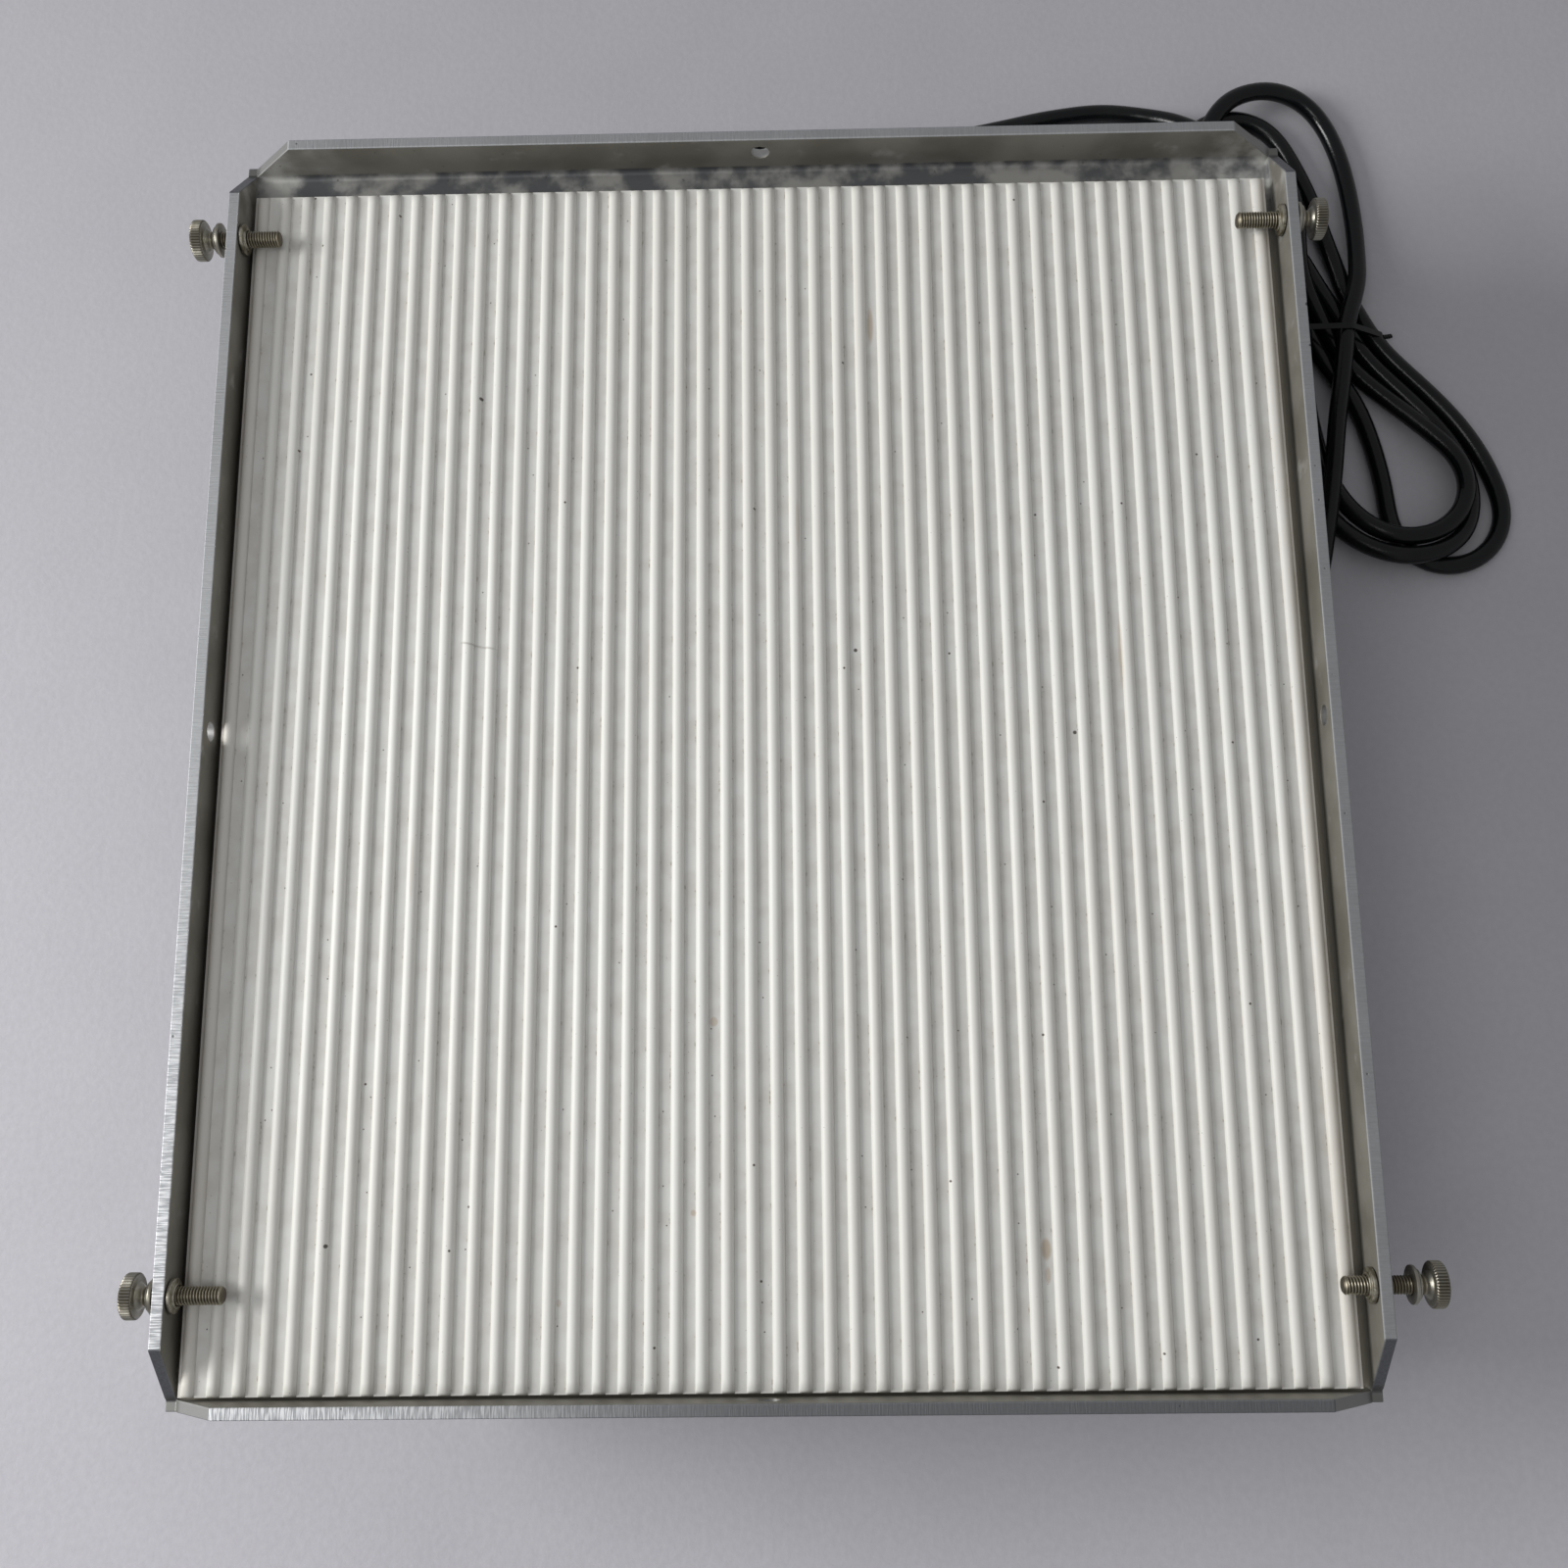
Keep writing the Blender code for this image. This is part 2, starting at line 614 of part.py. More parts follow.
def make_housing():
    """Box of folded sheet, open above and below, with its cut-outs."""
    profile = [
        (HOUSING_LIP, 0.0),
        (HOUSING_LIP, HOUSING_SHEET),
        (HOUSING_SHEET, HOUSING_SHEET),
        (HOUSING_SHEET, HOUSING_HEIGHT - HOUSING_SHEET),
        (HOUSING_LIP, HOUSING_HEIGHT - HOUSING_SHEET),
        (HOUSING_LIP, HOUSING_HEIGHT),
        (0.0, HOUSING_HEIGHT),
        (0.0, 0.0),
    ]
    walls = square_ring(profile, housing_x, housing_y)
    housing = place("lamp_housing", mesh_of(walls, painted), (0, 0, housing_bottom))

    holes = bmesh.new()
    deep = 4 * HOUSING_SHEET
    for side in (-1, 1):
        for end in (-1, 1):
            for y, level in ((TRAY_SCREW_Y, housing_top), (BASE_SCREW_Y, housing_bottom)):
                middle = (side * lip_middle_x, end * y, level)
                add_rod(holes, middle, (0, 0, 1), SMALL_THREAD / 2 + SEAT_GAP, deep, SMALL_SIDES)
    relief = (CORD_X, housing_y, cord_level)
    add_rod(holes, relief, (0, 1, 0), RELIEF_NECK / 2 + SEAT_GAP, deep, SCREW_SIDES)
    switch = (SWITCH_X, -housing_y, housing_bottom + SWITCH_RISE)
    opening = (SWITCH_BODY.x + 2 * SEAT_GAP, deep, SWITCH_BODY.z + 2 * SEAT_GAP)
    add_block(holes, switch, opening)
    combine(housing, tool("housing_hole_tool", closed(holes)), "DIFFERENCE")

    vents = bmesh.new()
    across = int(2 * (housing_y - VENT_MARGIN) / VENT_PITCH)
    reach = (VENT_LENGTH - VENT_WIDTH) / 2
    slot = band_outline([(-reach, 0, VENT_WIDTH / 2), (reach, 0, VENT_WIDTH / 2)], VENT_SIDES)
    for side in (-1, 1):
        start = side * housing_x - deep / 2
        for drop in VENT_ROWS:
            for number in range(across + 1):
                middle = (number - across / 2) * VENT_PITCH
                outline = [(start, middle + y, housing_top - drop + z) for y, z in slot]
                add_solid(vents, extruded(outline, (deep, 0, 0)))
    combine(housing, tool("vent_tool", closed(vents)), "DIFFERENCE")


def make_base():
    """Flat plate under the housing."""
    plate = bmesh.new()
    middle = (0, 0, base_bottom + BASE_SHEET / 2)
    add_block(plate, middle, (2 * housing_x, 2 * housing_y, BASE_SHEET))
    base = place("base_plate", mesh_of(plate, aluminium))
    holes = bmesh.new()
    radius = SMALL_THREAD / 2 + SEAT_GAP
    for end in (-1, 1):
        for side in (-1, 1):
            foot = (side * (housing_x - FOOT_INSET), end * (housing_y - FOOT_INSET), base_bottom)
            screw = (side * lip_middle_x, end * BASE_SCREW_Y, base_bottom)
            add_rod(holes, foot, (0, 0, 1), radius, 4 * BASE_SHEET, SMALL_SIDES)
            add_rod(holes, screw, (0, 0, 1), radius, 4 * BASE_SHEET, SMALL_SIDES)
    combine(base, tool("base_hole_tool", closed(holes)), "DIFFERENCE")


def make_feet_and_screws():
    """Four rubber feet, and the screws that hold the feet, the base plate and the tray."""
    foot_outline = [
        (FOOT_WEB, SMALL_THREAD / 2 + SEAT_GAP),
        (FOOT_HEIGHT, SMALL_THREAD / 2 + SEAT_GAP),
        (FOOT_HEIGHT, FOOT_TOP_RADIUS),
        (0.0, FOOT_BOTTOM_RADIUS),
        (0.0, FOOT_RECESS_RADIUS),
        (FOOT_WEB, FOOT_RECESS_RADIUS),
    ]
    foot = standing(turned(foot_outline, SCREW_SIDES, ring=True), black_rubber)
    foot_screw = pan_head(FOOT_WEB - SEAT_GAP, base_top + SMALL_PAST)
    base_screw = pan_head(base_bottom - SEAT_GAP, housing_bottom + HOUSING_SHEET + SMALL_PAST)
    tip = housing_top - HOUSING_SHEET - SMALL_PAST
    tray_screw = standing(turned(countersunk(0.0, tip, floor_top), SMALL_SIDES), zinc)
    number = 0
    for end in (-1, 1):
        for side in (-1, 1):
            number += 1
            at = (side * (housing_x - FOOT_INSET), end * (housing_y - FOOT_INSET), 0)
            place(f"foot_{number}", foot, at)
            place(f"foot_screw_{number}", foot_screw, at)
            x = side * lip_middle_x
            place(f"base_screw_{number}", base_screw, (x, end * BASE_SCREW_Y, 0))
            place(f"tray_screw_{number}", tray_screw, (x, end * TRAY_SCREW_Y, 0))


def standing(bm, material):
    """A mesh of a solid that was turned about X, stood up along +Z."""
    stand_up(bm, 0, 0)
    return mesh_of(bm, material)


def pan_head(under_head, tip):
    """A screw driven upwards, from the level under its head to the level of its tip."""
    rounding = 0.6 * MM
    bottom = under_head - SMALL_HEAD_HEIGHT
    outline = [
        (bottom, 0.0),
        (bottom, SMALL_HEAD / 2 - rounding),
        (bottom + rounding, SMALL_HEAD / 2),
        (under_head, SMALL_HEAD / 2),
        (under_head, SMALL_THREAD / 2),
        (tip, SMALL_THREAD / 2),
        (tip, 0.0),
    ]
    return standing(turned(outline, SMALL_SIDES), zinc)


def make_reflector():
    """White pan: upright ends against the housing's short walls, and long sides that lean outwards."""
    top = housing_top - HOUSING_SHEET - SMALL_PAST - REFLECTOR_DROP
    x, y = housing_inner_x - SEAT_GAP, housing_inner_y - SEAT_GAP
    wall = REFLECTOR_SHEET
    loops = (
        (x - REFLECTOR_SLOPE, y, reflector_bottom),
        (x, y, top),
        (x - wall, y - wall, top),
        (x - REFLECTOR_SLOPE - wall, y - wall, reflector_floor),
    )
    bm = bmesh.new()
    rows = []
    for half_x, half_y, level in loops:
        corners = ((half_x, half_y), (-half_x, half_y), (-half_x, -half_y), (half_x, -half_y))
        rows.append([bm.verts.new((a, b, level)) for a, b in corners])
    for low, high in zip(rows, rows[1:]):
        for i in range(4):
            j = (i + 1) % 4
            bm.faces.new((low[i], low[j], high[j], high[i]))
    bm.faces.new(rows[0])
    bm.faces.new(rows[-1])
    place("reflector", mesh_of(closed(bm), white_paint))


def lamp_shape():
    """A straight lamp along X: glass tube, metal caps, and two pins at each end."""
    half = lamp_length / 2
    glass = LAMP_DIAMETER / 2 - LAMP_CAP_STEP
    cap = LAMP_DIAMETER / 2
    outline = [
        (-half, 0.0),
        (-half, cap),
        (-half + LAMP_CAP_LENGTH, cap),
        (-half + LAMP_CAP_LENGTH, glass),
        (half - LAMP_CAP_LENGTH, glass),
        (half - LAMP_CAP_LENGTH, cap),
        (half, cap),
        (half, 0.0),
    ]
    lamp = place("lamp", mesh_of(turned(outline, LAMP_SIDES), lamp_white))
    pins = bmesh.new()
    root = LAMP_CAP_LENGTH / 2
    for offset in (-PIN_SPACING / 2, PIN_SPACING / 2):
        for end in (-1, 1):
            middle = (end * (half + (PIN_LENGTH - root) / 2), offset, 0)
            add_rod(pins, middle, (1, 0, 0), PIN_DIAMETER / 2, PIN_LENGTH + root, PIN_SIDES)
    combine(lamp, tool("lamp_pin_tool", closed(pins)), "UNION")
    return worked(lamp)


def holder_shape():
    """A lamp holder that faces +Y, with its two pin holes at its origin's level."""
    shoulder = HOLDER_WIDTH / 2
    foot = -LAMP_ABOVE_REFLECTOR + SEAT_GAP
    spring = HOLDER_ABOVE_AXIS - shoulder
    arch = [i / 6 * math.pi for i in range(7)]
    section = [(-shoulder, foot), (shoulder, foot)]
    section += [(shoulder * math.cos(a), spring + shoulder * math.sin(a)) for a in arch]
    outline = [(x, -HOLDER_THICK, z) for x, z in section]
    holder = place("holder", mesh_of(extruded(outline, (0, HOLDER_THICK, 0)), white_plastic))
    holes = bmesh.new()
    depth = PIN_LENGTH + SEAT_GAP
    for offset in (-PIN_SPACING / 2, PIN_SPACING / 2):
        radius = PIN_DIAMETER / 2 + SEAT_GAP
        add_rod(holes, (offset, 0, 0), (0, 1, 0), radius, 2 * depth, PIN_SIDES)
    combine(holder, tool("holder_hole_tool", closed(holes)), "DIFFERENCE")
    return worked(holder)


def make_lamps():
    """Straight lamps from front to back, each in two holders."""
    lamp = lamp_shape()
    holder = holder_shape()
    for number in range(LAMP_COUNT):
        x = (number - (LAMP_COUNT - 1) / 2) * LAMP_PITCH
        place(f"lamp_{number + 1}", lamp, (x, 0, lamp_axis), (0, 0, math.pi / 2))
        place(f"holder_{number + 1}_front", holder, (x, -holder_face_y, lamp_axis))
        place(f"holder_{number + 1}_back", holder, (x, holder_face_y, lamp_axis), (0, 0, math.pi))


def make_wiring_bay():
    """Two ballasts, the terminal block and the lead from the wall to it."""
    block = bmesh.new()
    add_block(block, (0, 0, BALLAST_SIZE.z / 2), BALLAST_SIZE)
    bmesh.ops.bevel(block, geom=block.edges, offset=BALLAST_EDGE, segments=1, affect="EDGES")
    can = place("ballast", mesh_of(block, grey_steel))
    tabs = bmesh.new()
    size = (BALLAST_TAB.x, BALLAST_SIZE.y + 2 * BALLAST_TAB.y, BALLAST_TAB.z)
    add_block(tabs, (0, 0, BALLAST_TAB.z / 2 + BALLAST_EDGE), size)
    combine(can, tool("ballast_tab_tool", tabs), "UNION")
    can_mesh = worked(can)
    level = base_top + SEAT_GAP
    place("ballast_left", can_mesh, (-BALLAST_X, ballast_y, level))
    place("ballast_right", can_mesh, (BALLAST_X, ballast_y, level))

    block = bmesh.new()
    add_block(block, (0, 0, TERMINAL_SIZE.z / 2), TERMINAL_SIZE)
    at = (CORD_X, terminal_back - TERMINAL_SIZE.y / 2, level)
    terminal = place("terminal_block", mesh_of(block, white_plastic), at)
    wells = bmesh.new()
    pitch = TERMINAL_SIZE.x / TERMINAL_WELLS
    for number in range(TERMINAL_WELLS):
        middle = ((number - (TERMINAL_WELLS - 1) / 2) * pitch, 0, TERMINAL_SIZE.z)
        add_rod(wells, middle, (0, 0, 1), TERMINAL_WELL / 2, 2 * TERMINAL_WELL_DEPTH, SMALL_SIDES)
    combine(terminal, tool("terminal_tool", closed(wells), at), "DIFFERENCE")

    start = housing_inner_y - RELIEF_INSIDE - SEAT_GAP
    end = terminal_back + SEAT_GAP
    points = []
    for number in range(6):
        share = number / 5
        level = cord_level - INNER_LEAD_SAG * math.sin(math.pi * share) ** 2
        points.append(Vector((CORD_X, start + (end - start) * share, level)))
    tube("inner_lead", points, CORD_DIAMETER, black_pvc)


def make_switch():
    """Body with a bezel in the front wall, and its rocker, turned to off."""
    level = housing_bottom + SWITCH_RISE
    wall_face = -housing_y
    body = bmesh.new()
    outside = -SEAT_GAP - SWITCH_BEZEL.y
    middle = (0, (outside + SWITCH_BODY.y) / 2, 0)
    add_block(body, middle, (SWITCH_BODY.x, SWITCH_BODY.y - outside, SWITCH_BODY.z))
    at = (SWITCH_X, wall_face, level)
    switch = place("switch_body", mesh_of(body, black_plastic), at)
    bezel = bmesh.new()
    add_block(bezel, (0, -SEAT_GAP - SWITCH_BEZEL.y / 2, 0), SWITCH_BEZEL)
    combine(switch, tool("bezel_tool", bezel, at), "UNION")
    pocket = bmesh.new()
    spare = 1 * MM
    size = Vector((SWITCH_POCKET.x, SWITCH_POCKET.y + spare, SWITCH_POCKET.z))
    add_block(pocket, (0, outside + (SWITCH_POCKET.y - spare) / 2, 0), size)
    combine(switch, tool("pocket_tool", pocket, at), "DIFFERENCE")
    pivot_y = outside + ROCKER_FRONT + 0.6 * MM
    reach = SWITCH_POCKET.z + 2 * (PIVOT_REACH + SEAT_GAP)
    bearing = bmesh.new()
    add_rod(bearing, (0, pivot_y, 0), (0, 0, 1), PIVOT_RADIUS + SHANK_GAP, reach, SMALL_SIDES)
    combine(switch, tool("bearing_tool", bearing, at), "DIFFERENCE")

    half = ROCKER_LENGTH / 2
    height = SWITCH_POCKET.z - 2 * SEAT_GAP
    section = [
        (-half, -ROCKER_FRONT),
        (0.0, -ROCKER_FRONT + ROCKER_HOLLOW),
        (half, -ROCKER_FRONT),
        (half, 0.0),
        (0.35 * half, ROCKER_BACK),
        (-0.35 * half, ROCKER_BACK),
        (-half, 0.0),
    ]
    flat = [(x, y, -height / 2) for x, y in section]
    pivot = (SWITCH_X, wall_face + pivot_y, level)
    turn = (0, 0, -SWITCH_TILT)
    rocker_mesh = mesh_of(extruded(flat, (0, 0, height)), black_gloss)
    rocker = place("switch_rocker", rocker_mesh, pivot, turn)
    axle = bmesh.new()
    length = height + 2 * (PIVOT_REACH + SEAT_GAP)
    add_rod(axle, (0, 0, 0), (0, 0, 1), PIVOT_RADIUS, length, SMALL_SIDES)
    combine(rocker, tool("axle_tool", axle, pivot, turn), "UNION")


def make_mains_lead():
    """Strain relief, lead, tied hank and plug, all lying where they were put down."""
    neck = RELIEF_NECK / 2
    flange = RELIEF_FLANGE / 2
    outline = [
        (-HOUSING_SHEET - RELIEF_INSIDE, 0.0),
        (-HOUSING_SHEET - RELIEF_INSIDE, RELIEF_ROOT / 2),
        (-HOUSING_SHEET - 2 * MM, flange - 1 * MM),
        (-HOUSING_SHEET - SEAT_GAP, flange - 1 * MM),
        (-HOUSING_SHEET - SEAT_GAP, neck),
        (SEAT_GAP, neck),
        (SEAT_GAP, flange),
        (RELIEF_FLANGE_LENGTH, flange),
        (RELIEF_FLANGE_LENGTH, RELIEF_ROOT / 2),
        (RELIEF_LENGTH, RELIEF_TIP / 2),
        (RELIEF_LENGTH, 0.0),
    ]
    at = (CORD_X, housing_y, cord_level)
    place("strain_relief", mesh_of(turned(outline, SCREW_SIDES), black_pvc), at, (0, 0, math.pi / 2))
    tube("cord_lead", smooth_route(LEAD_ROUTE, CORD_STEP), CORD_DIAMETER, black_pvc)
    tube("cord_tail", smooth_route(TAIL_ROUTE, CORD_STEP), CORD_DIAMETER, black_pvc)

    upper = lobe(HANK_UPPER, HANK_BOTTOM, HANK_UPPER_TOP)
    hank = place("cord_hank", mesh_of(upper, black_pvc))
    lower = lobe(HANK_LOWER, HANK_BOTTOM, HANK_LOWER_TOP)
    combine(hank, tool("hank_lower_tool", lower), "UNION")
    groove = bmesh.new()
    size = (4 * WAIST_HALF, TIE_WIDTH + 2 * SEAT_GAP, 4 * HANK_UPPER_TOP)
    add_block(groove, (*TIE_MIDDLE, 0), size)
    combine(hank, tool("tie_groove_tool", groove), "DIFFERENCE")
    combine(hank, tool("waist_tool", lobe(HANK_WAIST, WAIST_BOTTOM, WAIST_TOP)), "UNION")

    inner = (WAIST_HALF + SEAT_GAP, (WAIST_TOP - WAIST_BOTTOM) / 2 + SEAT_GAP)
    outer = (inner[0] + TIE_SHEET, inner[1] + TIE_SHEET)
    middle = Vector((*TIE_MIDDLE, (WAIST_TOP + WAIST_BOTTOM) / 2))
    band = bmesh.new()
    add_block(band, middle, (2 * outer[0], TIE_WIDTH, 2 * outer[1]))
    tie = place("cord_tie", mesh_of(band, black_pvc))
    hollow = bmesh.new()
    add_block(hollow, middle, (2 * inner[0], 2 * TIE_WIDTH, 2 * inner[1]))
    combine(tie, tool("tie_hollow_tool", hollow), "DIFFERENCE")
    end = bmesh.new()
    at = middle + Vector((outer[0] + TIE_END.x / 2 - TIE_SHEET / 2, 0, 1 * MM))
    add_block(end, at, TIE_END)
    combine(tie, tool("tie_end_tool", end), "UNION")

    start = TAIL_ROUTE[-1]
    boot, body = PLUG_BOOT, PLUG_BOOT + PLUG_BODY
    outline = [
        (0.0, 0.0),
        (0.0, PLUG_BOOT_RADII[0]),
        (boot, PLUG_BOOT_RADII[1]),
        (boot + 2 * PLUG_ROUNDING, PLUG_RADIUS - PLUG_ROUNDING),
        (boot + 3 * PLUG_ROUNDING, PLUG_RADIUS),
        (body - PLUG_ROUNDING, PLUG_RADIUS),
        (body, PLUG_RADIUS - PLUG_ROUNDING),
        (body, 0.0),
    ]
    at = (start[0] * MM, start[1] * MM - SEAT_GAP, start[2] * MM)
    turn = (0, 0, -math.pi / 2)
    plug = place("plug", mesh_of(turned(outline, SCREW_SIDES), black_pvc), at, turn)
    blades = bmesh.new()
    root = 2 * MM
    for side in (-1, 1):
        middle = (body + (BLADE.y - root) / 2, side * BLADE_SPACING / 2, BLADE_OFFSET)
        add_block(blades, middle, (BLADE.y + root, BLADE.x, BLADE.z))
    middle = (body + (EARTH_PIN_LENGTH - root) / 2, 0, EARTH_PIN_OFFSET)
    add_rod(blades, middle, (1, 0, 0), EARTH_PIN / 2, EARTH_PIN_LENGTH + root, SMALL_SIDES)
    combine(plug, tool("blade_tool", closed(blades), at, turn), "UNION")


for old in list(bpy.data.objects):
    bpy.data.objects.remove(old, do_unlink=True)

frame = bpy.data.objects.new("light_table", None)
bpy.context.scene.collection.objects.link(frame)

aluminium = finish("aluminium", (0.56, 0.56, 0.55), 0.42, metallic=1.0)
opal = finish("opal_plastic", (0.80, 0.78, 0.74), 0.45)
clear_glass = finish("clear_glass", (0.80, 0.88, 0.85), 0.05, transmission=0.9)
nickel = finish("nickel", (0.58, 0.56, 0.50), 0.3, metallic=1.0)
tarnished = finish("tarnished_nickel", (0.48, 0.42, 0.30), 0.45, metallic=1.0)
zinc = finish("zinc", (0.62, 0.62, 0.60), 0.35, metallic=1.0)
painted = finish("grey_paint", (0.34, 0.35, 0.36), 0.5)
white_paint = finish("white_paint", (0.86, 0.86, 0.84), 0.4)
lamp_white = finish("lamp_white", (0.90, 0.90, 0.88), 0.25)
white_plastic = finish("white_plastic", (0.82, 0.82, 0.78), 0.4)
grey_steel = finish("ballast_steel", (0.45, 0.45, 0.46), 0.4, metallic=0.8)
black_plastic = finish("black_plastic", (0.03, 0.03, 0.03), 0.45)
black_gloss = finish("black_gloss", (0.02, 0.02, 0.02), 0.2)
black_rubber = finish("black_rubber", (0.03, 0.03, 0.03), 0.75)
black_pvc = finish("black_pvc", (0.02, 0.02, 0.022), 0.4)

make_tray()
make_diffuser()
make_glass()
make_thumb_screws()
make_housing()
make_base()
make_feet_and_screws()
make_reflector()
make_lamps()
make_wiring_bay()
make_switch()
make_mains_lead()
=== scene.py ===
import json
import math

import bmesh
import bpy
import numpy as np
from mathutils import Matrix, Vector
from mathutils.geometry import convex_hull_2d

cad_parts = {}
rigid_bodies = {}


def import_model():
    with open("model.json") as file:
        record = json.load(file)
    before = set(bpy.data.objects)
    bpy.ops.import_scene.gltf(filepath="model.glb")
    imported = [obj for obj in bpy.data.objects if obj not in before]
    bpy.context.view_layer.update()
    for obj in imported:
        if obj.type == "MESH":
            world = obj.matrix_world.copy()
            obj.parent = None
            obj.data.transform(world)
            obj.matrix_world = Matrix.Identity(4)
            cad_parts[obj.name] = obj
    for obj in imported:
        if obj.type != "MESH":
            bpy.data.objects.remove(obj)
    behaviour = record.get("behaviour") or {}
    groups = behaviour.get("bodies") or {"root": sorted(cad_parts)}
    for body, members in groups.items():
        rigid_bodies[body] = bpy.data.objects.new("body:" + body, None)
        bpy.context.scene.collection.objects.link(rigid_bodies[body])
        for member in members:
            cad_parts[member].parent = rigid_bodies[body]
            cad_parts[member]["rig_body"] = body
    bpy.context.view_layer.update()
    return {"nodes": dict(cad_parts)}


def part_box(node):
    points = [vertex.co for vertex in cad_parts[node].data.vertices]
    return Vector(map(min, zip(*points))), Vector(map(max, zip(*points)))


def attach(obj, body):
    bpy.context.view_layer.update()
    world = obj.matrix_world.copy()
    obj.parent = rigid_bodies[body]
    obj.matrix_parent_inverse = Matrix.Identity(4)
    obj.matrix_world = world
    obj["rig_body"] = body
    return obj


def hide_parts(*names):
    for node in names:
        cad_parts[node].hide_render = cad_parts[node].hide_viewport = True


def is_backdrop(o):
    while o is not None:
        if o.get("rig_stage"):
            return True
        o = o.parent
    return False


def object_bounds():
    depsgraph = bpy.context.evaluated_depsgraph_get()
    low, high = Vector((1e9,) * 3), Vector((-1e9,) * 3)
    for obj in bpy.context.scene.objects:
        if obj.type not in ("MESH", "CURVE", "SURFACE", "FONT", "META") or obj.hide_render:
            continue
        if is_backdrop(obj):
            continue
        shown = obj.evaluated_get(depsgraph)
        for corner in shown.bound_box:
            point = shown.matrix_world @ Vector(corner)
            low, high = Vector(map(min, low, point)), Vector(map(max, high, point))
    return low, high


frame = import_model()

# ---- Camera, light and table ----
# The camera looks almost straight down from over the front half. A broad window light comes
# from the left, a weak ceiling light from above, and the rest is even light from all sides.
MM = 0.001
scene = bpy.context.scene
scene.view_settings.view_transform = "Standard"


def add_object(name, data):
    """A new object in the scene."""
    made = bpy.data.objects.new(name, data)
    scene.collection.objects.link(made)
    return made


camera = add_object("camera", bpy.data.cameras.new("camera"))
camera.data.lens = 37.125
camera.data.sensor_width = 36.0
camera.location = Vector((12.5, -113.4, 511.4)) * MM
camera.rotation_euler = [math.radians(angle) for angle in (12.35, 1.07, -0.59)]
scene.camera = camera


def add_soft_light(name, place, size, power):
    """A square area light that faces the middle of the table."""
    light = bpy.data.lights.new(name, "AREA")
    light.shape = "SQUARE"
    light.size = size
    light.energy = power
    lamp = add_object(name, light)
    lamp.location = place
    lamp.rotation_euler = (-Vector(place)).to_track_quat("-Z", "Y").to_euler()


add_soft_light("window_light", (-1.30, 0.06, 0.70), 0.6, 18.8)
add_soft_light("ceiling_light", (-0.60, -0.30, 1.30), 0.5, 2.4)
world = bpy.data.worlds.new("room")
world.use_nodes = True
room = world.node_tree.nodes["Background"].inputs
room["Color"].default_value = (0.97, 0.97, 1.0, 1.0)
room["Strength"].default_value = 0.355
scene.world = world


class Wire:
    """The output of a node, which can be used in sums."""

    def __init__(self, graph, socket):
        self.graph = graph
        self.socket = socket

    def math(self, operation, *others):
        """This wire, and the others after it, through a Math node."""
        sockets = dict(enumerate((self, *others)))
        return self.graph.node("ShaderNodeMath", sockets, operation=operation)

    def __add__(self, other):
        return self.math("ADD", other)

    __radd__ = __add__

    def __sub__(self, other):
        return self.math("SUBTRACT", other)

    def __rsub__(self, other):
        return self * -1.0 + other

    def __mul__(self, other):
        return self.math("MULTIPLY", other)

    __rmul__ = __mul__

    def __truediv__(self, other):
        return self.math("DIVIDE", other)

    def __pow__(self, other):
        return self.math("POWER", other)

    def __abs__(self):
        return self.math("ABSOLUTE")

    def step(self, low, high):
        """A soft step from 0 at low to 1 at high; low may be the larger one."""
        sockets = {"Value": self, "From Min": low, "From Max": high}
        return self.graph.node("ShaderNodeMapRange", sockets, interpolation_type="SMOOTHSTEP")

    def parts(self):
        """The X, Y and Z of a vector."""
        split = self.graph.node("ShaderNodeSeparateXYZ", {0: self}).socket.node
        return [Wire(self.graph, output) for output in split.outputs]


class Graph:
    """A node tree whose maths is written as sums of wires."""

    def __init__(self, tree):
        self.tree = tree

    def node(self, kind, sockets=None, out=0, **settings):
        """A new node: values or wires for its sockets, and its settings by name."""
        made = self.tree.nodes.new(kind)
        for name, value in settings.items():
            setattr(made, name, value)
        for key, value in (sockets or {}).items():
            self.feed(made.inputs[key], value)
        return Wire(self, made.outputs[out])

    def feed(self, socket, value):
        """Links a wire to the socket, or gives it a plain value."""
        if isinstance(value, Wire):
            self.tree.links.new(value.socket, socket)
        elif socket.type == "RGBA" and len(value) == 3:
            socket.default_value = (*value, 1.0)
        else:
            socket.default_value = value


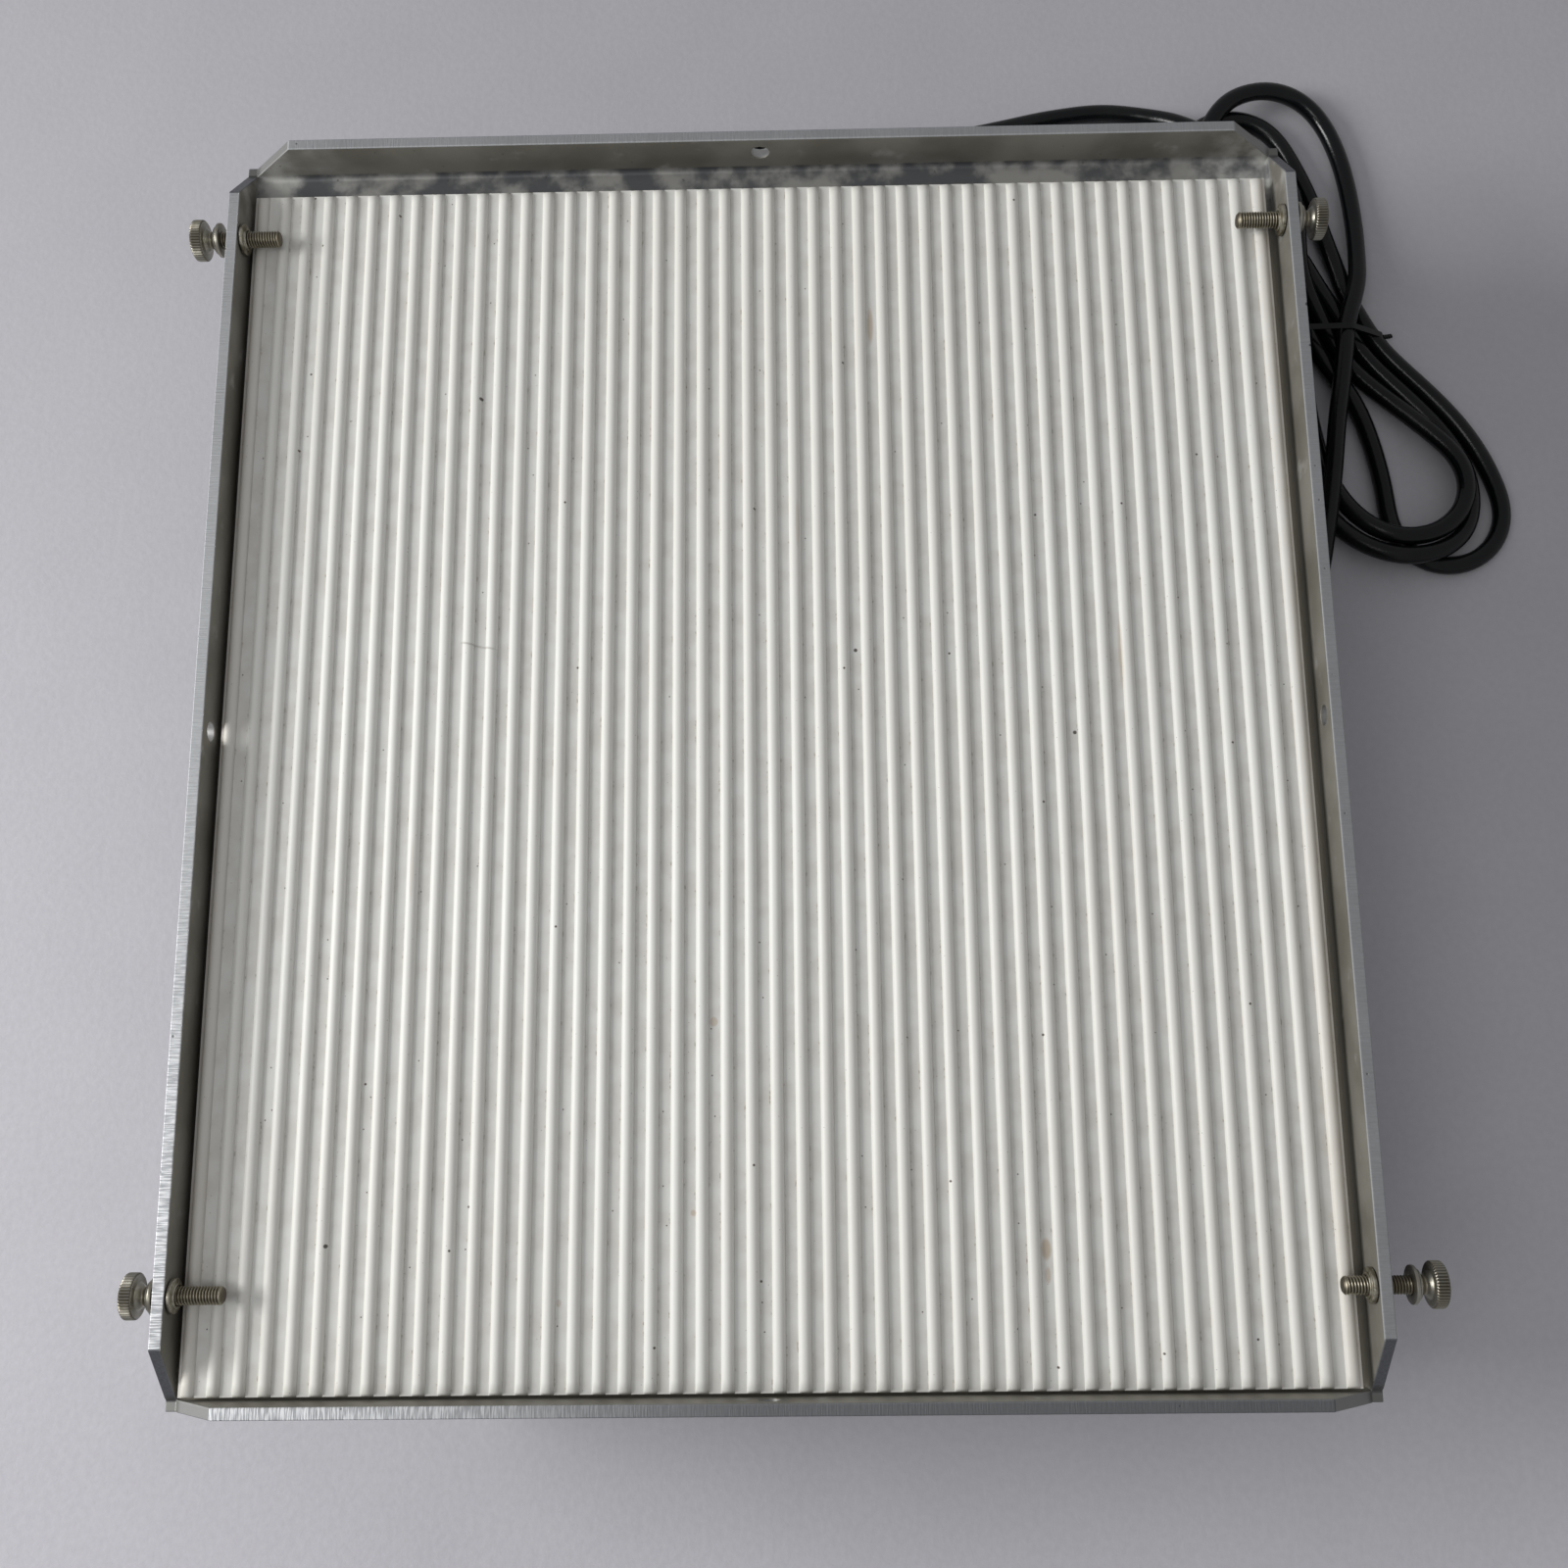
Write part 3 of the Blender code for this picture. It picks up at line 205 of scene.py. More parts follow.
class Finish(Graph):
    """A material: nodes round one Principled shader, on object coordinates."""

    def __init__(self, name, **values):
        self.material = bpy.data.materials.new(name)
        self.material.use_nodes = True
        super().__init__(self.material.node_tree)
        self.place = self.node("ShaderNodeTexCoord", out="Object")
        self.set(**values)

    def where(self):
        """The X, Y and Z of the object coordinates, in mm."""
        return [part / MM for part in self.place.parts()]

    def set(self, **values):
        """Base_Color=..., Roughness=... and so on, as values or wires."""
        shader = self.tree.nodes["Principled BSDF"]
        for name, value in values.items():
            self.feed(shader.inputs[name.replace("_", " ")], value)

    def noise(self, scale, detail=2.0, stretch=(1.0, 1.0, 1.0)):
        """Cloudy noise round 0.5, with about that many blotches per metre."""
        spread = {0: self.place, 1: stretch}
        vector = self.node("ShaderNodeVectorMath", spread, operation="MULTIPLY")
        return self.node("ShaderNodeTexNoise", {"Vector": vector, "Scale": scale, "Detail": detail})

    def specks(self, per_metre, radius, share, space="3D"):
        """Small round dots: 1 on a dot. Only that share of the cells has one."""
        sockets = {"Vector": self.place, "Scale": per_metre}
        distance = self.node("ShaderNodeTexVoronoi", sockets, voronoi_dimensions=space)
        cell = Wire(self, distance.socket.node.outputs["Color"]).parts()[0]
        return (distance / per_metre).step(radius, 0.5 * radius) * cell.step(1 - share, 1.001 - share)

    def mix(self, factor, one, other):
        """One colour where factor is 0, the other where it is 1."""
        return self.node("ShaderNodeMix", {0: factor, 6: one, 7: other}, out=2, data_type="RGBA")

    def bump(self, height, depth):
        """Raises the surface by that depth where height is 1."""
        self.set(Normal=self.node("ShaderNodeBump", {"Height": height, "Distance": depth}))


def build_mesh(name, bm, finish, smooth_below=40.0):
    """An object from a bmesh: faces smooth, with edges sharper than the angle left sharp."""
    mesh = bpy.data.meshes.new(name)
    bm.to_mesh(mesh)
    bm.free()
    mesh.shade_smooth()
    mesh.set_sharp_from_angle(angle=math.radians(smooth_below))
    mesh.materials.append(finish.material)
    return add_object(name, mesh)


# painted shade: the table top is painted paler in front than at the back, where the light falls off
table = Finish("table_top", Roughness=0.6, Specular_IOR_Level=0.3)
cloud = table.noise(28.0, 3.0)
front = table.mix(cloud, (0.520, 0.512, 0.545), (0.565, 0.557, 0.590))
back = table.mix(cloud, (0.400, 0.394, 0.418), (0.432, 0.426, 0.450))
far = table.place.parts()[1].step(-0.35, 0.40)
fibres = table.noise(420.0, 4.0)
colour = table.mix(far, front, back)
table.set(Base_Color=table.mix(fibres.step(0.3, 0.7) * 0.10, colour, (0.30, 0.295, 0.31)))
table.bump(fibres + 0.5 * cloud, 0.0001)
sheet = bmesh.new()
bmesh.ops.create_grid(sheet, x_segments=2, y_segments=2, size=4.0)
build_mesh("floor", sheet, table)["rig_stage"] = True

# ---- Mains lead ----
# Round black PVC cord, 6 mm thick and 1.8 m long. It leaves the back wall, lies along the
# back of the table, is folded into a figure of eight with a tie round its waist, and comes
# back along the right side to its plug.
CORD = 6.0  # mm, as are the points of the route
TIE_AT = (191.2, 150.0)
SPARE = 0.45  # the settling keeps strands this much further apart than touching
ON_TABLE = 3.1  # the height of each point that is given without one
CLEARANCE, TIE_CLEARANCE, TIE_REACH = 0.1, 0.9, 4  # over the table, and over it beside the tie
LEAD_ROUTE = [
    (-60, 193.3, 20), (-60, 199, 19.8), (-60, 207, 17.8), (-58, 216.5, 12.5), (-51, 225.5, 6.5),
    (-39, 230, 3.4), (-22, 230.5), (-2, 228.5), (20, 226), (42, 226), (62, 228.5), (82, 232.5),
    (100, 236.3), (118, 238.2), (132, 236, 4), (143.5, 229.9, 8.6),
]
HANK_ROUTE = [
    # down to the waist and round the first lower loop
    (152.5, 221.5, 13), (160, 213, 15.1), (165.5, 206, 13.3), (170.5, 199.5, 8.5),
    (175.5, 192.5, 4.2), (181.5, 183.5), (187.3, 172), (192.5, 160.5), (197.3, 149), (206, 138),
    (216.5, 127), (226, 115), (232, 102.5), (233, 90, 3.4), (227.5, 78, 6), (216, 71.5, 9.1),
    (204, 71.5, 8.5), (192, 78, 5), (183, 89), (177, 103), (175.5, 119, 3.3), (177.5, 135, 5.5),
    # through the waist and round the first upper loop
    (182, 150, 8.4), (173, 163, 9.1), (161, 174.5, 9.1), (150.5, 186, 9.1), (144.5, 199, 9.1),
    (147, 210.5, 9.1), (155.5, 217.5, 9.1), (166, 218, 9.1), (175, 212, 9.1), (180.2, 202, 9.1),
    (181, 191, 9.1), (181.3, 180.5, 8.6), (183, 169.5, 5.5), (186.8, 159, 3.3),
    # second lower loop
    (191.2, 149.5), (200, 137.5, 3.3), (211, 125, 4.5), (221, 113, 7.5), (228, 102, 9.3),
    (230, 90, 9.3), (224.5, 79.5, 9.3), (214, 75, 9.3), (202.5, 78, 8.5), (192.8, 86.5, 5.5),
    (186.5, 99, 3.3), (183.2, 114), (181, 132),
    # second upper loop
    (179, 150), (170.5, 164), (159.5, 180), (149, 195.5), (144.5, 207), (144, 218.5),
    (149.5, 230), (162, 236), (174.5, 231), (181, 221.5), (185.3, 212.5), (188.6, 203),
    (191.2, 193), (194, 181.5), (197.5, 171), (200.8, 160.3),
    # third lower loop
    (203.4, 149.5), (211.5, 139.5), (221.5, 129.5), (231.5, 118), (238.6, 105), (242.3, 92),
    (241.5, 79.5), (234, 69.8), (223, 67.1), (212.5, 71), (207, 81), (205, 94.5), (202.5, 110),
    (198, 126), (191, 139),
    # third upper loop
    (185.1, 150.5), (178, 163.5), (169.5, 177), (161.5, 190), (155, 202.5), (151.8, 214, 3.8),
    (151.8, 224.5, 7), (156, 233.5, 9.4), (163.5, 239.5, 9), (171.5, 242.8, 7),
    (179.5, 243.6, 5), (188, 240.8, 3.6), (195, 232.5), (199.5, 221), (202, 207), (202.8, 193),
    (202.2, 180, 4), (199.5, 166, 6.5), (195, 151, 8.6), (192.5, 134, 8), (189.5, 119.5, 9.2),
    (187.3, 105, 9.5), (185.3, 91.5, 9.5), (183.3, 80, 8.4),
]
TAIL_ROUTE = [
    (181.7, 71.1, 6.8), (179.8, 61, 4.2), (175.5, 44), (170.5, 24), (166.5, 2), (164, -22),
    (163, -44), (163, -57, 4.2), (163, -70, 8), (163, -83, 11.9), (163, -98, 12.6),
]


def smooth_route(points, step):
    """Points a step apart on the smooth curve through the given ones (centripetal spline)."""
    points = np.array(points, float)
    first, last = 2 * points[0] - points[1], 2 * points[-1] - points[-2]
    held = np.vstack([first, points, last])
    line = []
    for a, b, c, d in zip(held, held[1:], held[2:], held[3:]):
        t0, t1 = 0.0, np.linalg.norm(b - a) ** 0.5
        t2 = t1 + np.linalg.norm(c - b) ** 0.5
        t3 = t2 + np.linalg.norm(d - c) ** 0.5
        count = max(2, round(np.linalg.norm(c - b)))
        t = np.linspace(t1, t2, count, endpoint=False)[:, None]
        ab = a + (b - a) * (t - t0) / (t1 - t0)
        bc = b + (c - b) * (t - t1) / (t2 - t1)
        cd = c + (d - c) * (t - t2) / (t3 - t2)
        abc = ab + (bc - ab) * (t - t0) / (t2 - t0)
        bcd = bc + (cd - bc) * (t - t1) / (t3 - t1)
        line.extend(abc + (bcd - abc) * (t - t1) / (t2 - t1))
    line = np.array([*line, points[-1]])
    along = np.r_[0.0, np.cumsum(np.linalg.norm(np.diff(line, axis=0), axis=1))]
    at = np.linspace(0.0, along[-1], round(along[-1] / step) + 1)
    return np.stack([np.interp(at, along, line[:, k]) for k in range(3)], axis=1)


def settle(line, held, rounds=300, tightest=20.0, follow=0.01, shove=0.15, longest=0.3):
    """Strands push each other apart, tight bends open and humps stretch, clear of the table.

    Every point is drawn back to where it was laid, and those where held is true stay there.
    """
    laid = line.copy()
    line = line.copy()
    far = np.abs(np.subtract.outer(np.arange(len(line)), np.arange(len(line)))) > 5
    free = 1.0 - held[:, None]
    spacing = np.linalg.norm(np.diff(line, axis=0), axis=1)[:, None]
    for _ in range(rounds):
        move = follow * (laid - line)
        for reach, stiffness in ((1, 0.5), (3, 0.25)):
            middle = (line[: -2 * reach] + line[2 * reach :]) / 2 - line[reach:-reach]
            chord = np.linalg.norm(line[2 * reach :] - line[: -2 * reach], axis=1)
            bow = np.linalg.norm(middle, axis=1)
            radius = chord**2 / (8 * np.maximum(bow, 1e-6)) + bow / 2
            bend = stiffness * middle * np.clip(1 - radius / tightest, 0, 1)[:, None]
            bend[:, 2] += 0.05 * middle[:, 2]
            move[reach:-reach] += bend
            move[: -2 * reach] -= bend / 2
            move[2 * reach :] -= bend / 2
        along = np.zeros_like(line)
        along[1:-1] = line[2:] - line[:-2]
        along /= np.maximum(np.linalg.norm(along, axis=1), 1e-9)[:, None]
        gap = line[:, None] - line[None]
        distance = np.linalg.norm(gap, axis=2)
        i, j = np.nonzero(far & (distance < CORD + SPARE))
        beside = np.abs((along[i] * along[j]).sum(1))[:, None] ** 2
        push = gap[i, j] * np.hstack([beside, beside, np.ones_like(beside)])
        push /= np.maximum(np.linalg.norm(push, axis=1), 1e-9)[:, None]
        np.add.at(move, i, push * (CORD + SPARE - distance[i, j])[:, None] * shove)
        line += np.clip(move, -longest, longest) * free
        for first in (0, 1):
            one, other = np.arange(first, len(line) - 1, 2), np.arange(first + 1, len(line), 2)
            run = line[other] - line[one]
            long = np.linalg.norm(run, axis=1)[:, None]
            slack = run * (1 - spacing[one] / long) / np.maximum(free[one] + free[other], 1)
            line[one] += 0.5 * slack * free[one]
            line[other] -= 0.5 * slack * free[other]
        by_tie = abs(line[:, 1] - TIE_AT[1]) < TIE_REACH
        lowest = CORD / 2 + np.where(by_tie, TIE_CLEARANCE, CLEARANCE)
        line[:, 2] = np.where(held, line[:, 2], np.maximum(line[:, 2], lowest))
    for _ in range(3):
        line[1:-1] += 0.5 * ((line[:-2] + line[2:]) / 2 - line[1:-1]) * free[1:-1]
    return line


route = [(*point, ON_TABLE)[:3] for point in LEAD_ROUTE + HANK_ROUTE + TAIL_ROUTE]
line = smooth_route(route, 4.0)
in_hank = (line[:, 0] > LEAD_ROUTE[-1][0]) & (line[:, 1] > TAIL_ROUTE[0][1] - 6)
line = smooth_route(settle(line, ~in_hank), 2.0)

pvc = Finish("black_pvc", Specular_IOR_Level=0.28)
smear = pvc.noise(45.0, 4.0)
pvc.set(
    Base_Color=pvc.mix(smear.step(0.5, 0.75), (0.0025, 0.0032, 0.0036), (0.007, 0.0075, 0.0075)),
    Roughness=0.17 + 0.12 * smear.step(0.35, 0.7),
)
pvc.bump(pvc.noise(900.0, 3.0), 0.00006)


def add_cord(name, points, diameter, finish):
    """A round cord through the points, in mm."""
    curve = bpy.data.curves.new(name, "CURVE")
    curve.dimensions = "3D"
    curve.bevel_depth = diameter / 2 * MM
    curve.bevel_resolution = 4
    curve.use_fill_caps = True
    spline = curve.splines.new("POLY")
    spline.points.add(len(points) - 1)
    for point, place in zip(spline.points, points):
        point.co = (*(place * MM), 1.0)
    curve.materials.append(finish.material)
    return add_object(name, curve)


def box(node):
    """A CAD node's low and high corners and its middle."""
    low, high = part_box(node)
    return low, high, (low + high) / 2


def stand_for(piece, node):
    """The piece takes the place of a CAD node on the same body."""
    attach(piece, frame["nodes"][node]["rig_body"])
    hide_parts(node)


cord = add_cord("mains_lead", line, CORD, pvc)
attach(cord, "table")
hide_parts("cord_lead", "cord_hank", "cord_tail")

# ---- Plug ----
# Moulded PVC plug with two flat brass blades and a round earth pin. The boot is cast round
# the cord in one piece with the body, which has finger ridges on its two flat sides.
PLUG_AT = TAIL_ROUTE[-1]
PLUG_LENGTH, PLUG_RADIUS = 52.3, 12.5
HALF_FLAT = 9.8  # the body is pressed in to about this on its two sides
RIDGE_DEEP, RIDGE_PITCH, RIDGE_HALF_HIGH = 0.3, 3.0, 7.0
BLADE_LENGTH, BLADE_HIGH, BLADE_SHEET, BLADE_ROOT = 17.5, 6.3, 1.5, 2.0
BLADES_APART, BLADES_DOWN = 12.7, 4.0
EARTH_PIN_UP = 7.5


def bridge(bm, loops):
    """Faces between each loop of vertices and the next."""
    for one, other in zip(loops, loops[1:]):
        for i in range(len(one)):
            j = (i + 1) % len(one)
            bm.faces.new((one[i], one[j], other[j], other[i]))


def lathe(rings, sides, at, axis):
    """A closed turned shape: rings of (distance along the axis, radius), all in mm."""
    forward = Vector(axis).normalized()
    side = forward.cross(Vector((0, 1, 0) if abs(forward.z) > 0.9 else (0, 0, 1))).normalized()
    up = side.cross(forward)
    bm = bmesh.new()
    loops = []
    for along, radius in rings:
        middle = Vector(at) + forward * along
        turns = [2 * math.pi * i / sides for i in range(sides)]
        spots = [middle + (side * math.cos(t) + up * math.sin(t)) * radius for t in turns]
        loops.append([bm.verts.new(spot * MM) for spot in spots])
    bridge(bm, loops)
    bm.faces.new(loops[0])
    bm.faces.new(loops[-1])
    bmesh.ops.recalc_face_normals(bm, faces=bm.faces)
    return bm


rings = [(0.3, 3.3), (0.3, 4.2)]
for groove in range(5):
    start = 2.0 + 3.5 * groove
    size = 4.3 + 0.25 * groove
    rings += [(start, size), (start + 0.3, size - 0.8), (start + 1.1, size - 0.8)]
    rings += [(start + 1.4, size)]
rings += [(20.3, 5.6), (21.5, 7.4), (23.5, 9.4), (26.5, 11.0), (30.0, 12.0), (34.0, 12.45)]
rings += [(34.0 + step, PLUG_RADIUS) for step in range(1, 16)]
rings += [(51.5, 12.2), (52.2, 11.6), (PLUG_LENGTH, 10.6), (PLUG_LENGTH, 1.0)]
body = lathe(rings, 48, PLUG_AT, (0, -1, 0))
for vertex in body.verts:
    x, y, z = (vertex.co / MM) - Vector(PLUG_AT)
    if abs(x) > HALF_FLAT:
        ridged = abs(z) < RIDGE_HALF_HIGH and -50 < y < -36
        ridge = RIDGE_DEEP * math.cos(y / RIDGE_PITCH * 2 * math.pi) if ridged else 0.0
        x = math.copysign(HALF_FLAT + 0.35 * (abs(x) - HALF_FLAT) + ridge, x)
        vertex.co.x = (PLUG_AT[0] + x) * MM
plug = build_mesh("plug_body", body, pvc, 50.0)
stand_for(plug, "plug")

brass = Finish("nickel_plated_brass", Metallic=1.0)
wear = brass.noise(260.0, 4.0)
rub = brass.noise(60.0, 2.0, (30.0, 1.0, 30.0))
brass.set(
    Base_Color=brass.mix(wear.step(0.5, 0.7), (0.62, 0.60, 0.55), (0.55, 0.45, 0.25)),
    Roughness=0.22 + 0.25 * rub,
)
brass.bump(rub, 0.00003)


def plate(outlines, thickness, edge):
    """A mesh of a flat plate in the XY plane: an outline and its holes, with broken edges."""
    curve = bpy.data.curves.new("plate", "CURVE")
    curve.dimensions = "2D"
    curve.fill_mode = "BOTH"
    curve.extrude = (thickness / 2 - edge) * MM
    curve.bevel_depth = edge * MM
    curve.offset = -edge * MM
    curve.bevel_resolution = 1
    for outline in outlines:
        spline = curve.splines.new("POLY")
        spline.points.add(len(outline) - 1)
        spline.use_cyclic_u = True
        for point, (x, y) in zip(spline.points, outline):
            point.co = (x * MM, y * MM, 0.0, 1.0)
    holder = bpy.data.objects.new("plate", curve)
    mesh = bpy.data.meshes.new_from_object(holder)
    bpy.data.objects.remove(holder)
    bpy.data.curves.remove(curve)
    return mesh


def circle(x, y, radius, count):
    """Points round a circle."""
    angles = [2 * math.pi * i / count for i in range(count)]
    return [(x + radius * math.cos(a), y + radius * math.sin(a)) for a in angles]


PLUG_FACE = PLUG_AT[1] - PLUG_LENGTH
tip = BLADE_LENGTH - 1.6
blade_outline = [(-BLADE_ROOT, -BLADE_HIGH / 2), (tip, -BLADE_HIGH / 2), (BLADE_LENGTH, -1.6)]
blade_outline += [(BLADE_LENGTH, 1.6), (tip, BLADE_HIGH / 2), (-BLADE_ROOT, BLADE_HIGH / 2)]
blade = plate([blade_outline, circle(BLADE_LENGTH - 5.5, 0.0, 1.6, 20)], BLADE_SHEET, 0.2)
rings = [(-1.5, 2.4), (17.0, 2.4), (18.6, 2.1), (19.6, 1.4), (20.0, 0.5)]
pins = lathe(rings, 24, (PLUG_AT[0], PLUG_FACE, PLUG_AT[2] + EARTH_PIN_UP), (0, -1, 0))
# length along -Y, height along Z, thickness along X
stand = Matrix(((0, 0, 1, 0), (-1, 0, 0, 0), (0, 1, 0, 0), (0, 0, 0, 1)))
for side in (-0.5, 0.5):
    middle = (PLUG_AT[0] + side * BLADES_APART, PLUG_FACE, PLUG_AT[2] - BLADES_DOWN)
    placed = blade.copy()
    placed.transform(Matrix.Translation(Vector(middle) * MM) @ stand)
    pins.from_mesh(placed)
prongs = build_mesh("plug_pins", pins, brass)
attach(prongs, "table")

# ---- Strain relief ----
# Moulded on the cord and pushed through the back wall, where its groove grips the sheet. It
# tapers outwards in rings, so that the cord bends gently.
RELIEF_AT = (-60.0, 167.1, 20.0)
RELIEF_RINGS, RING_PITCH = 6, 3.4
rings = [(-7.6, 1.0), (-7.6, 5.8), (-3.6, 7.3), (-3.2, 7.5), (-1.9, 7.5), (-1.9, 6.0), (0.3, 6.0)]
rings += [(0.3, 8.2), (0.6, 8.5), (2.3, 8.5), (2.6, 8.2), (2.6, 5.9)]
for ring in range(RELIEF_RINGS):
    start = 4.2 + RING_PITCH * ring
    size = 5.75 - 1.9 * ring / (RELIEF_RINGS - 1)
    rings += [(start, size), (start + 0.25, size - 1.0), (start + 1.25, size - 1.1)]
    rings += [(start + 1.5, size - 0.1)]
rings += [(25.2, 3.75), (26.0, 3.4), (26.3, 2.9)]
relief = build_mesh("cord_relief", lathe(rings, 40, RELIEF_AT, (0, 1, 0)), pvc)
stand_for(relief, "strain_relief")

# ---- Tie ----
# A flat wire tie in black paper and plastic, wrapped once round the waist of the hank, with
# its two ends twisted together at the outer side.
TIE_WIDE, TIE_SHEET = 2.0, 0.4
WIRE, TWISTED_LENGTH, TWIST_RADIUS, TWISTS = 0.8, 3.6, 0.45, 2
crossings = []
for before, after in zip(line, line[1:]):
    if (before[1] - TIE_AT[1]) * (after[1] - TIE_AT[1]) <= 0 and before[0] > 150:
        share = (TIE_AT[1] - before[1]) / (after[1] - before[1] or 1.0)
        crossings.append(before + (after - before) * share)
spots = []
for x, _, z in crossings:
    spots += circle(x, z, CORD / 2 + 0.1, 24)
hull = [spots[i] for i in convex_hull_2d(spots)]
bm = bmesh.new()
loops = []
middle = sum((Vector(spot) for spot in hull), Vector((0, 0))) / len(hull)
for reach, y in ((0.0, -1), (0.0, 1), (TIE_SHEET, 1), (TIE_SHEET, -1)):
    loop = []
    for spot in hull:
        out = Vector(spot) - middle
        x, z = Vector(spot) + out.normalized() * reach
        loop.append(bm.verts.new(Vector((x, TIE_AT[1] + y * TIE_WIDE / 2, max(z, 0.15))) * MM))
    loops.append(loop)
bridge(bm, loops + loops[:1])
bmesh.ops.recalc_face_normals(bm, faces=bm.faces)
outer_x, outer_z = max(hull)
along = np.linspace(0, 1, 41)
for phase in (0.0, math.pi):
    turn = TWISTS * 2 * math.pi * along + phase
    path_x = outer_x + 0.3 + TWISTED_LENGTH * along
    path_y = TIE_AT[1] + 1.2 * along**2 + TWIST_RADIUS * np.cos(turn)
    path_z = outer_z + 0.5 - 1.5 * along**2 + TWIST_RADIUS * np.sin(turn)
    path = np.stack([path_x, path_y, path_z], axis=1)
    strand = add_cord("tie_strand", path, WIRE, pvc)
    mesh = bpy.data.meshes.new_from_object(strand)
    bm.from_mesh(mesh)
    bpy.data.objects.remove(strand)
tie = build_mesh("wire_tie", bm, pvc)
stand_for(tie, "cord_tie")

# ---- Tray ----
# One sheet of 1/8 inch aluminium, bent up on four sides, with slanting flange ends. The
# rims are as the shears left them and ribbed across, and carry painted light: a painted
# highlight at the front left corner, and painted shade along the front from its middle to
# the right. The corners where the flanges meet are painted dark as shade. The walls are
# dull with age.
def plain_mesh(rough):
    """The mesh that an object's modifiers make; the object goes."""
    graph = bpy.context.evaluated_depsgraph_get()
    made = bpy.data.meshes.new_from_object(rough.evaluated_get(graph), depsgraph=graph)
    bpy.data.objects.remove(rough)
    return made


def worn_copy(node, name, finish, edge, segments=2):
    """A CAD node's shape with its edges broken, as a piece that takes its place."""
    sharp = math.radians(40.0)
    bm = bmesh.new()
    bm.from_mesh(frame["nodes"][node].data)
    bmesh.ops.remove_doubles(bm, verts=bm.verts, dist=0.002 * MM)
    bmesh.ops.dissolve_limit(bm, angle_limit=math.radians(0.5), verts=bm.verts, edges=bm.edges)
    mesh = bpy.data.meshes.new(name)
    bm.to_mesh(mesh)
    bm.free()
    if "custom_normal" in mesh.attributes:
        mesh.attributes.remove(mesh.attributes["custom_normal"])
    rough = add_object(name + "_rough", mesh)
    bevel = rough.modifiers.new("edges", "BEVEL")
    bevel.limit_method = "ANGLE"
    bevel.angle_limit = sharp
    bevel.width = edge * MM
    bevel.segments = segments
    bevel.harden_normals = True
    mesh.shade_smooth()
    mesh.set_sharp_from_angle(angle=sharp)
    made = plain_mesh(rough)
    made.materials.clear()
    made.materials.append(finish.material)
    stand_for(add_object(name, made), node)


def near(x, y, at, half):
    """Squared distance from a point, which is 1 on the ellipse of those half sizes, in mm."""
    return ((x - at[0]) / half[0]) ** 2 + ((y - at[1]) / half[1]) ** 2


RIM, FLOOR = 80.0, 65.0
INNER_X, INNER_Y = 155.6, 178.7
SLANT_X, SLANT_Y = 141.75, 164.85  # where the slanting ends reach the rims
NICKS = [((158.9, 121.6), (0.8, 0.75)), ((158.9, 108.6), (0.8, 0.5))]  # middle, half sizes

mill = Finish("mill_aluminium")
x, y, z = mill.where()
on_rim = z.step(RIM - 0.5, RIM - 0.25)
inside = abs(x).step(INNER_X + 0.5, INNER_X + 0.1)
inside = inside * abs(y).step(INNER_Y + 0.5, INNER_Y + 0.1)
inside = inside * z.step(FLOOR - 1.8, FLOOR - 1.2)
on_floor = inside * z.step(FLOOR + 2.2, FLOOR + 1.2)
side_flange = abs(x).step(INNER_X - 0.4, INNER_X + 0.4)
shear_front = mill.noise(1.0, 3.0, (2600.0, 210.0, 210.0))
shear_side = mill.noise(1.0, 3.0, (210.0, 2600.0, 210.0))
shear = shear_front + (shear_side - shear_front) * side_flange
drawn = mill.noise(1.0, 4.0, (60.0, 60.0, 2600.0))
cloud = mill.noise(38.0, 5.0)
rubbed = mill.noise(90.0, 5.0)
fine = mill.noise(1500.0, 3.0)
pits = mill.specks(260.0, 0.45 * MM, 0.25)
wall = mill.mix(cloud.step(0.35, 0.65), (0.19, 0.18, 0.15), (0.27, 0.26, 0.225))
wall = mill.mix(rubbed.step(0.6, 0.78), wall, (0.40, 0.39, 0.36))
# the floor strip is painted dark in blotches at the back, and a warm grey further forward
ledge = mill.mix(rubbed.step(0.42, 0.62), (0.095, 0.098, 0.102), (0.30, 0.297, 0.28))
ledge = mill.mix(y.step(140, 165), (0.42, 0.395, 0.33), ledge)
outer = mill.mix(cloud.step(0.3, 0.7), (0.42, 0.42, 0.405), (0.55, 0.55, 0.54))
# painted light: the rims get a painted highlight at the front left corner, and painted shade from
# there along the front
grain = 0.5 * shear + 0.3 * cloud + 0.2 * fine
painted_highlight_area = x.step(40, -150) * y.step(20, -170)
painted_highlight_tone = mill.mix(shear.step(0.40, 0.62), (0.36, 0.37, 0.38), (0.72, 0.73, 0.74))
rim = mill.mix(painted_highlight_area, mill.mix(grain, (0.25, 0.26, 0.265), (0.52, 0.53, 0.54)), painted_highlight_tone)
dark = mill.mix(grain, (0.12, 0.125, 0.13), (0.25, 0.257, 0.265))
rim = mill.mix(x.step(-105, 5) * y.step(-176, -178), rim, dark)
colour = mill.mix(inside, outer, wall)
colour = mill.mix(on_floor, colour, ledge)
# a white bloom in the two back corners
bloom = x.step(-120, -150) + x.step(125, 150)
bloom = bloom * y.step(150, 172) * inside * rubbed.step(0.35, 0.65)
colour = mill.mix(0.5 * bloom, colour, (0.72, 0.72, 0.69))
colour = mill.mix(on_rim, colour, rim)
